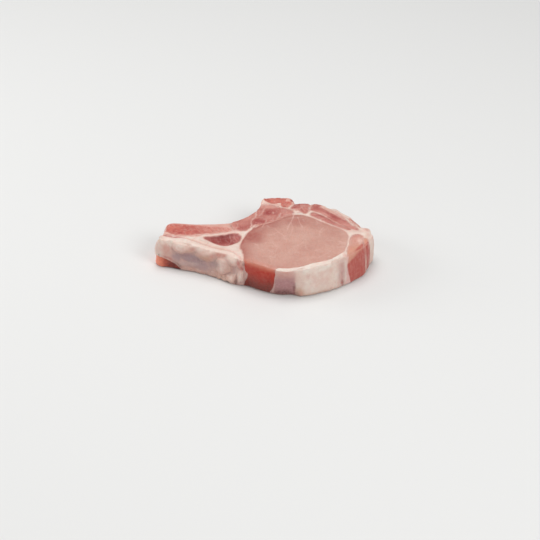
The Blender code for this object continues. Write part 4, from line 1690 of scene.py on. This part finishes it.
# ---------------------------------------------------------------- the whole chop
@dataclass
class Chop:
    """The chop's pieces, from the solids to the dressed meshes.

    Attributes:
        fat: the piece that is left when all the others are cut out.
        meats: the pieces that are cut out, in order.
        shapes: the solids by node.
        cutters: the cutters of the meats by node, in millimetres.
        walls: the walls of all seams, in millimetres.
    """

    fat: FatCover
    meats: tuple[Piece, ...]
    shapes: dict[str, NodeShape] = field(default_factory=dict)
    cutters: dict[str, bmesh.types.BMesh] = field(default_factory=dict)
    walls: Optional[BVHTree] = None

    def measure(self) -> None:
        """Reads the nodes, finds their seams and makes the cutters."""
        for name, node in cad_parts.items():
            self.shapes[name] = NodeShape(node.data)
        for shape in self.shapes.values():
            shape.find_seams([other for other in self.shapes.values() if other is not shape])
        joined = bmesh.new()
        for piece in self.meats:
            cutter = self.shapes[piece.node].cutter()
            self.cutters[piece.node] = cutter
            only_walls = cutter.copy()
            skin = [face for face in only_walls.faces if not face.material_index]
            bmesh.ops.delete(only_walls, geom=skin, context="FACES")
            pour_into(joined, only_walls)
        self.walls = BVHTree.FromBMesh(joined)
        joined.free()

    def grow_skin(self) -> bpy.types.Object:
        """One fine closed skin over all nodes, smoothed and without the gaps."""
        joined = bmesh.new()
        for shape in self.shapes.values():
            pour_into(joined, shape.moved_out(SEAM_OVERLAP, 0.0))
        skin = bmesh_object(joined, "skin")
        remesh = skin.modifiers.new("remesh", "REMESH")
        remesh.mode = "VOXEL"
        remesh.voxel_size = VOXEL * MM
        smooth = skin.modifiers.new("smooth", "SMOOTH")
        smooth.factor = SMOOTHING
        smooth.iterations = SMOOTHING_ROUNDS
        settle_modifiers(skin)
        log.info("skin: %d vertices", len(skin.data.vertices))
        return skin

    def members(self, node: str, points: Array) -> Array:
        """Which of the points lie in a node's cutter."""
        cutter = self.cutters[node]
        spots = np.array([vert.co for vert in cutter.verts])
        boxed = np.all((points > spots.min(0)) & (points < spots.max(0)), axis=1)
        tree = BVHTree.FromBMesh(cutter)
        for index in np.flatnonzero(boxed):
            point = Vector(points[index])
            spot, normal, _, _ = tree.find_nearest(point)
            boxed[index] = (point - spot).dot(normal) < 0.0
        return boxed

    def carve(self, skin: bpy.types.Object) -> None:
        """Gives the skin the relief of each piece.

        Args:
            skin: the smoothed skin, which changes.
        """
        mesh = skin.data
        site = site_of(mesh, self.walls)
        owned = np.zeros(len(site.points), dtype=bool)
        height = np.zeros(len(site.points))
        for piece in self.meats:
            chosen = self.members(piece.node, site.points) & ~owned
            owned |= chosen
            height[chosen] = piece.relief(site.part(chosen))
        height[~owned] = self.fat.relief(site.part(~owned))
        ragged = site.brim * (BRIM_RAG * layered_noise(site.points, 3.2, 14) - BRIM_SINK)
        points = site.points + site.normals * (height + ragged)[:, None]
        points[:, 2] = np.where(site.under < 1.0, points[:, 2], site.points[:, 2]).clip(0.0)
        mesh.vertices.foreach_set("co", (points * MM).ravel())
        mesh.update()

    def cut(self, skin: bpy.types.Object) -> dict[str, bpy.types.Object]:
        """Cuts the skin into the pieces, which then meet without a gap.

        Args:
            skin: the carved skin, which becomes the fat.

        Returns:
            The cut objects by node.
        """
        made = {}
        for piece in self.meats:
            cutter = bmesh_object(self.cutters[piece.node], piece.node + "_cutter")
            meat = new_object(piece.title, skin.data.copy())
            combine(meat, cutter, "INTERSECT")
            combine(skin, cutter, "DIFFERENCE")
            drop_object(cutter)
            made[piece.node] = meat
        skin.name = self.fat.title
        made[self.fat.node] = skin
        for obj in made.values():
            drop_specks(obj)
        return made

    def build(self) -> None:
        """Makes, cuts and dresses all pieces."""
        self.measure()
        skin = self.grow_skin()
        self.carve(skin)
        cut = self.cut(skin)
        for piece in (self.fat, *self.meats):
            piece.dress(cut[piece.node], self.walls)


def drop_specks(obj: bpy.types.Object) -> None:
    """Deletes the loose bits that cutting leaves, which are too small to see."""
    mesh = bmesh.new()
    mesh.from_mesh(obj.data)
    mesh.faces.ensure_lookup_table()
    left = set(mesh.faces)
    while left:
        island = {left.pop()}
        front = set(island)
        while front:
            near = {other for face in front for edge in face.edges for other in edge.link_faces}
            front = near - island
            island |= front
        left -= island
        if len(island) < SPECK:
            verts = {vert for face in island for vert in face.verts}
            bmesh.ops.delete(mesh, geom=list(verts), context="VERTS")
    mesh.to_mesh(obj.data)
    mesh.free()


# ---------------------------------------------------------------- finishes of this chop
SINEW_COLOUR = (0.76, 0.50, 0.43)
CREAM_AND_HIGHLIGHT_COLOUR = (0.81, 0.70, 0.62)

FAT_FINISH = Finish(
    base=(0.73, 0.53, 0.45),
    shade=(0.69, 0.45, 0.38),
    wide=140.0,
    vein=(0.62, 0.28, 0.25),
    vein_strength=0.25,
    layers=(
        # cream also paints highlights on the front wall's lumps; tan, lilac and deep also paint shade
        # under the lumps, in their creases and at the foot
        Layer(Mask.CREAM_AND_HIGHLIGHT, CREAM_AND_HIGHLIGHT_COLOUR, 0.9),
        Layer(Mask.TAN_AND_SHADE, (0.55, 0.33, 0.22), 0.75, 0.2),
        Layer(Mask.BLUSH, (0.64, 0.29, 0.24), 0.75),
        Layer(Mask.MEMBRANE_AND_SHADE, (0.405, 0.27, 0.285), 0.82, 0.12),
        Layer(Mask.MAUVE, (0.42, 0.19, 0.20), 0.85, 0.1),
        Layer(Mask.FLESH, (0.52, 0.20, 0.16), 0.85),
        Layer(Mask.DARK_AND_SHADE, (0.18, 0.07, 0.065), 0.8),
        Layer(Mask.BLOOD, (0.42, 0.09, 0.08), 0.9),
    ),
    wet=0.28,
    dry=0.48,
)

EYE_FINISH = Finish(
    base=(0.605, 0.345, 0.28),
    shade=(0.545, 0.275, 0.217),
    wide=90.0,
    film=(0.72, 0.47, 0.40),
    film_strength=0.3,
    cells=950.0,
    vein=(0.76, 0.54, 0.46),
    vein_strength=0.25,
    layers=(
        Layer(Mask.DARK_AND_SHADE, (0.38, 0.108, 0.085), 0.92, 0.15),
        Layer(Mask.BLUSH, (0.60, 0.19, 0.12), 0.9, 0.1),
        Layer(Mask.BLOOD, (0.47, 0.034, 0.016), 0.95, 0.1),
        # dark brown of the bare side towards the board, partly painted shade
        Layer(Mask.TAN_AND_SHADE, (0.16, 0.036, 0.025), 0.8, 0.15),
        Layer(Mask.CREAM_AND_HIGHLIGHT, (0.60, 0.38, 0.34), 0.95, 0.05),
        Layer(Mask.SINEW, SINEW_COLOUR, 0.75),
    ),
)

LEAN_FINISH = Finish(
    base=(0.49, 0.17, 0.135),
    shade=(0.42, 0.115, 0.095),
    wide=170.0,
    film=(0.64, 0.32, 0.27),
    film_strength=0.3,
    cells=800.0,
    vein=(0.72, 0.44, 0.38),
    vein_strength=0.25,
    layers=(
        Layer(Mask.DARK_AND_SHADE, (0.34, 0.056, 0.05), 0.9),
        Layer(Mask.BLUSH, (0.62, 0.29, 0.24), 0.9),
        Layer(Mask.TAN_AND_SHADE, (0.66, 0.36, 0.26), 0.9),
        Layer(Mask.SINEW, SINEW_COLOUR, 0.75),
        Layer(Mask.CREAM_AND_HIGHLIGHT, (0.80, 0.61, 0.52), 0.9, 0.1),
    ),
)

BELLY_FINISH = Finish(
    base=(0.65, 0.35, 0.285),
    shade=(0.60, 0.28, 0.22),
    film=(0.74, 0.48, 0.4),
    film_strength=0.25,
    layers=(
        Layer(Mask.TAN_AND_SHADE, (0.62, 0.28, 0.19), 0.7, 0.2),
        Layer(Mask.DARK_AND_SHADE, (0.46, 0.09, 0.07), 0.95, 0.15),
        Layer(Mask.BLUSH, (0.62, 0.24, 0.19), 0.8),
        Layer(Mask.CREAM_AND_HIGHLIGHT, (0.74, 0.50, 0.46), 0.9, 0.1),
        Layer(Mask.SINEW, SINEW_COLOUR, 0.8),
    ),
)

POCKET_FINISH = Finish(
    base=(0.34, 0.065, 0.056),
    shade=(0.29, 0.05, 0.043),
    wide=180.0,
    film=(0.54, 0.22, 0.19),
    film_strength=0.2,
    layers=(
        Layer(Mask.BLUSH, (0.50, 0.17, 0.15), 0.8),
        # the deep layer is darker flesh and painted shade under the rib's rim
        Layer(Mask.DARK_AND_SHADE, (0.24, 0.032, 0.028), 0.85),
        Layer(Mask.SINEW, (0.72, 0.45, 0.39), 0.75),
    ),
)

RED_MEAT_FINISH = Finish(
    base=(0.60, 0.145, 0.085),
    shade=(0.52, 0.10, 0.055),
    wide=200.0,
    layers=(
        Layer(Mask.BLUSH, (0.86, 0.27, 0.165), 0.95),
        Layer(Mask.DARK_AND_SHADE, (0.17, 0.017, 0.012), 0.95),
        Layer(Mask.SINEW, (0.70, 0.42, 0.34), 0.7),
    ),
)

BONE_FINISH = Finish(
    base=(0.66, 0.34, 0.28),
    shade=(0.60, 0.27, 0.22),
    wide=140.0,
    film=(0.74, 0.36, 0.30),
    film_strength=0.55,
    cells=1050.0,
    pits=0.65,
    layers=(
        Layer(Mask.TAN_AND_SHADE, (0.58, 0.36, 0.28), 0.6),
        Layer(Mask.CORE, (0.52, 0.12, 0.09), 0.8, 0.25),
        Layer(Mask.FLESH, (0.64, 0.16, 0.11), 0.6),
        Layer(Mask.BLUSH, (0.66, 0.30, 0.24), 0.8),
        Layer(Mask.DARK_AND_SHADE, (0.38, 0.055, 0.045), 0.8),
        # the cream layer also paints light on the left edge of the feather bone's rim
        Layer(Mask.CREAM_AND_HIGHLIGHT, (0.78, 0.58, 0.50), 0.85),
        Layer(Mask.BLOOD, (0.32, 0.04, 0.035), 0.85),
    ),
    relief=0.0002,
)


# ---------------------------------------------------------------- the chop's pieces
def all_pieces() -> Chop:
    """Names the chop's pieces with their places and finishes."""
    back = BandedLean(
        node="back_lean",
        title="back_muscles",
        finish=LEAN_FINISH,
        seams=(
            Thread(((-10.4, 9.0), (-9.2, 12.0), (-10.0, 14.5), (-9.8, 18.0), (-8.5, 20.5),
                    (-6.3, 23.0), (-5.8, 26.0), (-6.3, 29.0), (-5.8, 32.5)), 0.65, 1.2),
            Thread(((-3.4, 25.0), (-2.0, 27.0), (-1.0, 30.4), (0.0, 35.0)), 0.8, 0.75),
            Thread(((-8.2, 20.6), (-5.0, 22.4), (-1.6, 22.4), (1.2, 20.0), (1.8, 16.0)), 0.6, 0.3),
            Thread(((2.0, 18.6), (1.0, 15.0), (-0.4, 12.0)), 0.7, 0.7),
            Patch((6.6, 17.6), (2.4, 2.0), 25.0, 0.6),
            Thread(((8.6, 17.4), (10.2, 21.0), (11.4, 24.6), (12.8, 29.0)), 1.0, 0.85),
            Thread(((12.0, 23.4), (16.0, 26.4), (20.4, 28.6), (21.4, 31.6)), 0.8, 0.5),
            Thread(((14.4, 25.4), (14.6, 30.0)), 0.5, 0.3),
            Thread(((17.0, 28.0), (17.2, 33.6)), 0.5, 0.3),
            Thread(((13.4, 31.0), (12.4, 36.6)), 0.6, 0.35),
            Patch((10.8, 40.0), (2.6, 2.2), 0.0, 1.0),
            Thread(((0.0, 41.0), (4.0, 41.6), (9.0, 41.6)), 0.8, 0.6),
            Thread(((-21.0, 7.0), (-20.0, 10.0), (-20.6, 14.0)), 0.5, 0.4),
            Patch((6.8, 29.4), (0.7, 1.5), 0.0, 0.7),
        ),
        dark=patch_rows(
            (3.0, 29.2, 3.8, 4.0, 20.0, 0.95), (4.0, 30.6, 7.4, 4.6, 15.0, 0.5),
            (8.6, 28.4, 3.4, 4.0, 0.0, 0.4), (9.4, 26.4, 1.6, 1.6, 0.0, 0.6),
            (-3.8, 16.8, 6.0, 4.2, 25.0, 1.1), (-15.4, 8.6, 4.4, 2.6, 10.0, 0.35),
            (-20.0, 11.0, 2.6, 2.0, 0.0, 0.3), (-9.4, 11.6, 1.2, 1.6, 0.0, 0.5),
            (5.0, 39.0, 4.0, 1.2, 0.0, 0.35),
        ),
        light=patch_rows(
            (-11.5, 21.6, 3.0, 8.0, -42.0, 0.6), (-23.5, 11.5, 3.0, 4.0, 10.0, 0.6),
            (4.0, 41.0, 6.0, 1.6, 0.0, 0.7), (3.0, 38.4, 9.0, 3.4, 0.0, 1.2),
            (-16.0, 14.0, 4.0, 3.0, 20.0, 0.45), (-8.0, 25.0, 2.4, 6.0, -40.0, 0.5),
            (17.0, 31.0, 4.8, 6.0, 0.0, 0.65), (4.0, 22.0, 7.6, 3.0, 30.0, 0.55),
            (-3.8, 30.0, 1.6, 4.4, 0.0, 0.5), (-15.0, 17.0, 5.0, 2.6, 40.0, 0.4),
        ),
        seed=60,
    )
    spinal = BandedLean(
        node="spinal_lean",
        title="spinal_muscles",
        finish=LEAN_FINISH,
        seams=(
            Thread(((28.8, 37.6), (29.6, 34.4), (31.2, 31.0)), 0.7, 0.7),
            Thread(((28.8, 37.6), (27.0, 34.6), (25.0, 32.0)), 0.7, 0.65),
            Thread(((34.6, 41.0), (33.8, 36.6)), 0.5, 0.35),
            Thread(((19.0, 37.6), (21.4, 34.8), (23.6, 32.6)), 0.8, 0.7),
            Patch((36.4, 41.6), (2.0, 1.2), 0.0, 0.9),
            Thread(((20.0, 40.2), (24.0, 39.0), (28.6, 38.2), (33.0, 39.0)), 0.5, 0.5, 0.8),
            Thread(((31.4, 41.6), (30.6, 37.6), (32.8, 34.0)), 0.45, 0.4, 0.8),
        ),
        dark=patch_rows(
            (22.0, 41.0, 2.6, 1.8, 0.0, 0.8), (26.0, 41.4, 2.0, 1.6, 0.0, 0.7),
            (31.6, 42.0, 2.6, 1.6, 0.0, 0.4), (24.0, 37.8, 4.0, 2.4, 0.0, 0.6),
            (28.4, 32.8, 1.8, 3.0, 15.0, 0.35),
        ),
        light=patch_rows(
            (32.6, 36.0, 2.4, 4.0, 0.0, 0.45), (29.0, 40.0, 2.4, 2.0, 0.0, 0.5),
            (24.0, 35.4, 3.0, 1.2, 0.0, 0.5),
        ),
        seed=80,
    )
    outer = BandedLean(
        node="outer_cap",
        title="outer_cap_muscle",
        finish=LEAN_FINISH,
        seams=(
            Thread(((44.0, 37.4), (50.0, 31.6), (57.0, 24.6), (61.6, 19.0)), 1.2, 0.7, 0.3),
            Thread(((39.0, 33.0), (45.0, 28.6), (51.0, 23.0)), 0.5, 0.25),
        ),
        tawny=(Patch((50.5, 31.4), (7.0, 1.6), -43.0, 0.5),),
        fatty=(
            Thread(
                ((47.0, 38.6), (52.0, 34.6), (57.4, 29.6), (61.6, 24.4), (64.8, 18.4), (67.6, 12.4)),
                1.9,
                1.3,
                0.15,
            ),
        ),
        light=patch_rows(
            (51.0, 32.0, 8.0, 2.0, -43.0, 0.85), (46.0, 27.5, 6.0, 1.4, -40.0, 0.5),
            (60.5, 13.6, 7.0, 2.2, -48.0, 0.6), (67.0, 8.6, 3.0, 3.4, -50.0, 0.6),
            (43.0, 41.0, 3.0, 1.4, -30.0, 0.5),
        ),
        dark=patch_rows(
            (54.0, 22.4, 10.5, 2.4, -47.0, 0.85), (42.0, 36.0, 4.6, 2.4, -25.0, 0.6),
            (52.0, 38.0, 3.0, 1.0, -40.0, 0.4),
        ),
        seed=90,
    )
    inner = BandedLean(
        node="inner_cap",
        title="inner_cap_muscle",
        finish=LEAN_FINISH,
        light=patch_rows(
            (58.0, 10.4, 7.0, 3.2, -47.0, 0.6), (38.5, 26.8, 2.6, 2.0, 0.0, 0.5),
            (44.0, 20.6, 7.0, 1.4, -38.0, 0.35),
        ),
        dark=(Patch((44.0, 23.4), (5.0, 1.6), -40.0, 0.45),),
        seed=100,
    )
    flank = BandedLean(
        node="flank_lean",
        title="flank_strip_muscle",
        finish=BELLY_FINISH,
        bulge=0.3,
        skirt=0.1,
        ruddy=1.0,
        tawny=(Patch((75.6, -7.5), (2.6, 8.0), 0.0, 1.0),),
        dark=(Patch((76.0, -24.0), (3.0, 10.0), 0.0, 0.9),),
        seed=110,
    )
    meats = (
        LoinEye(finish=EYE_FINISH),
        RibBone(finish=BONE_FINISH),
        FeatherBone(finish=BONE_FINISH),
        RibPocket(finish=POCKET_FINISH),
        RibMeat(finish=RED_MEAT_FINISH),
        back,
        spinal,
        outer,
        inner,
        BellyLean(finish=BELLY_FINISH),
        flank,
    )
    return Chop(FatCover(finish=FAT_FINISH), meats)


# ---------------------------------------------------------------- studio
@dataclass
class Studio:
    """The floor, the light and the camera.

    Attributes:
        elevation: degrees that the camera looks down by.
        distance: from the camera to the place it aims at.
        aim: that place, at half the chop's height, in the row frame.
        lens: focal length over a 36 mm wide sensor.
        floor_half: half the floor's side.
        surround: brightness of the white surround.
    """

    elevation: float = 34.15
    distance: float = 1014.4
    aim: tuple[float, float, float] = (4.46, -33.4, 12.0)
    lens: float = 92.0
    floor_half: float = 3000.0
    surround: float = 0.4

    def lay_floor(self) -> None:
        """A plain pale floor that the chop lies on."""
        made = bmesh.new()
        bmesh.ops.create_grid(made, x_segments=8, y_segments=8, size=self.floor_half)
        floor = bmesh_object(made, "floor")
        finish = bpy.data.materials.new("floor_finish")
        finish.use_nodes = True
        shader = finish.node_tree.nodes["Principled BSDF"]
        shader.inputs["Base Color"].default_value = (0.74, 0.74, 0.73, 1.0)
        shader.inputs["Roughness"].default_value = 0.7
        floor.data.materials.append(finish)

    def light(self, name: str, power: float, size: float, place: Vector, aim: Vector) -> None:
        """Hangs a square soft light.

        Args:
            name: its name.
            power: its power in watts.
            size: its side in millimetres.
            place: where it hangs, in millimetres.
            aim: what it faces, in millimetres.
        """
        lamp = bpy.data.lights.new(name, "AREA")
        lamp.energy = power
        lamp.size = size * MM
        made = bpy.data.objects.new(name, lamp)
        made.location = place * MM
        made.rotation_euler = (aim - place).to_track_quat("-Z", "Y").to_euler()
        bpy.context.scene.collection.objects.link(made)

    def light_up(self) -> None:
        """A large soft light overhead, weaker ones from both sides and a bright surround."""
        centre = Vector((0.0, 0.0, 10.0))
        self.light("overhead", 12.0, 900.0, Vector((-150.0, 250.0, 1500.0)), centre)
        self.light("right_key", 9.0, 700.0, Vector((900.0, -900.0, 1000.0)), centre)
        self.light("left_window", 4.0, 500.0, Vector((-1100.0, 250.0, 450.0)), centre)
        world = bpy.data.worlds.new("surround")
        world.use_nodes = True
        background = world.node_tree.nodes["Background"]
        background.inputs["Color"].default_value = (1.0, 1.0, 1.0, 1.0)
        background.inputs["Strength"].default_value = self.surround
        bpy.context.scene.world = world
        bpy.context.scene.view_settings.view_transform = "Standard"

    def set_camera(self) -> None:
        """The camera in front of the chop, looking down on it."""
        slope = math.radians(self.elevation)
        back = Vector((0.0, -math.cos(slope), math.sin(slope)))
        camera = bpy.data.cameras.new("camera")
        camera.lens = self.lens
        camera.sensor_width = 36.0
        camera.clip_end = 20.0
        made = bpy.data.objects.new("camera", camera)
        made.location = (Vector(self.aim) + back * self.distance) * MM
        made.rotation_euler = (math.pi / 2 - slope, 0.0, 0.0)
        bpy.context.scene.collection.objects.link(made)
        bpy.context.scene.camera = made

    def build(self) -> None:
        """Sets up the floor, the light and the camera."""
        self.lay_floor()
        self.light_up()
        self.set_camera()


def main() -> None:
    """Builds the studio and the chop."""
    logging.basicConfig(level=logging.INFO, format="%(name)s: %(message)s")
    Studio().build()
    all_pieces().build()


if __name__ == "__main__":
    main()
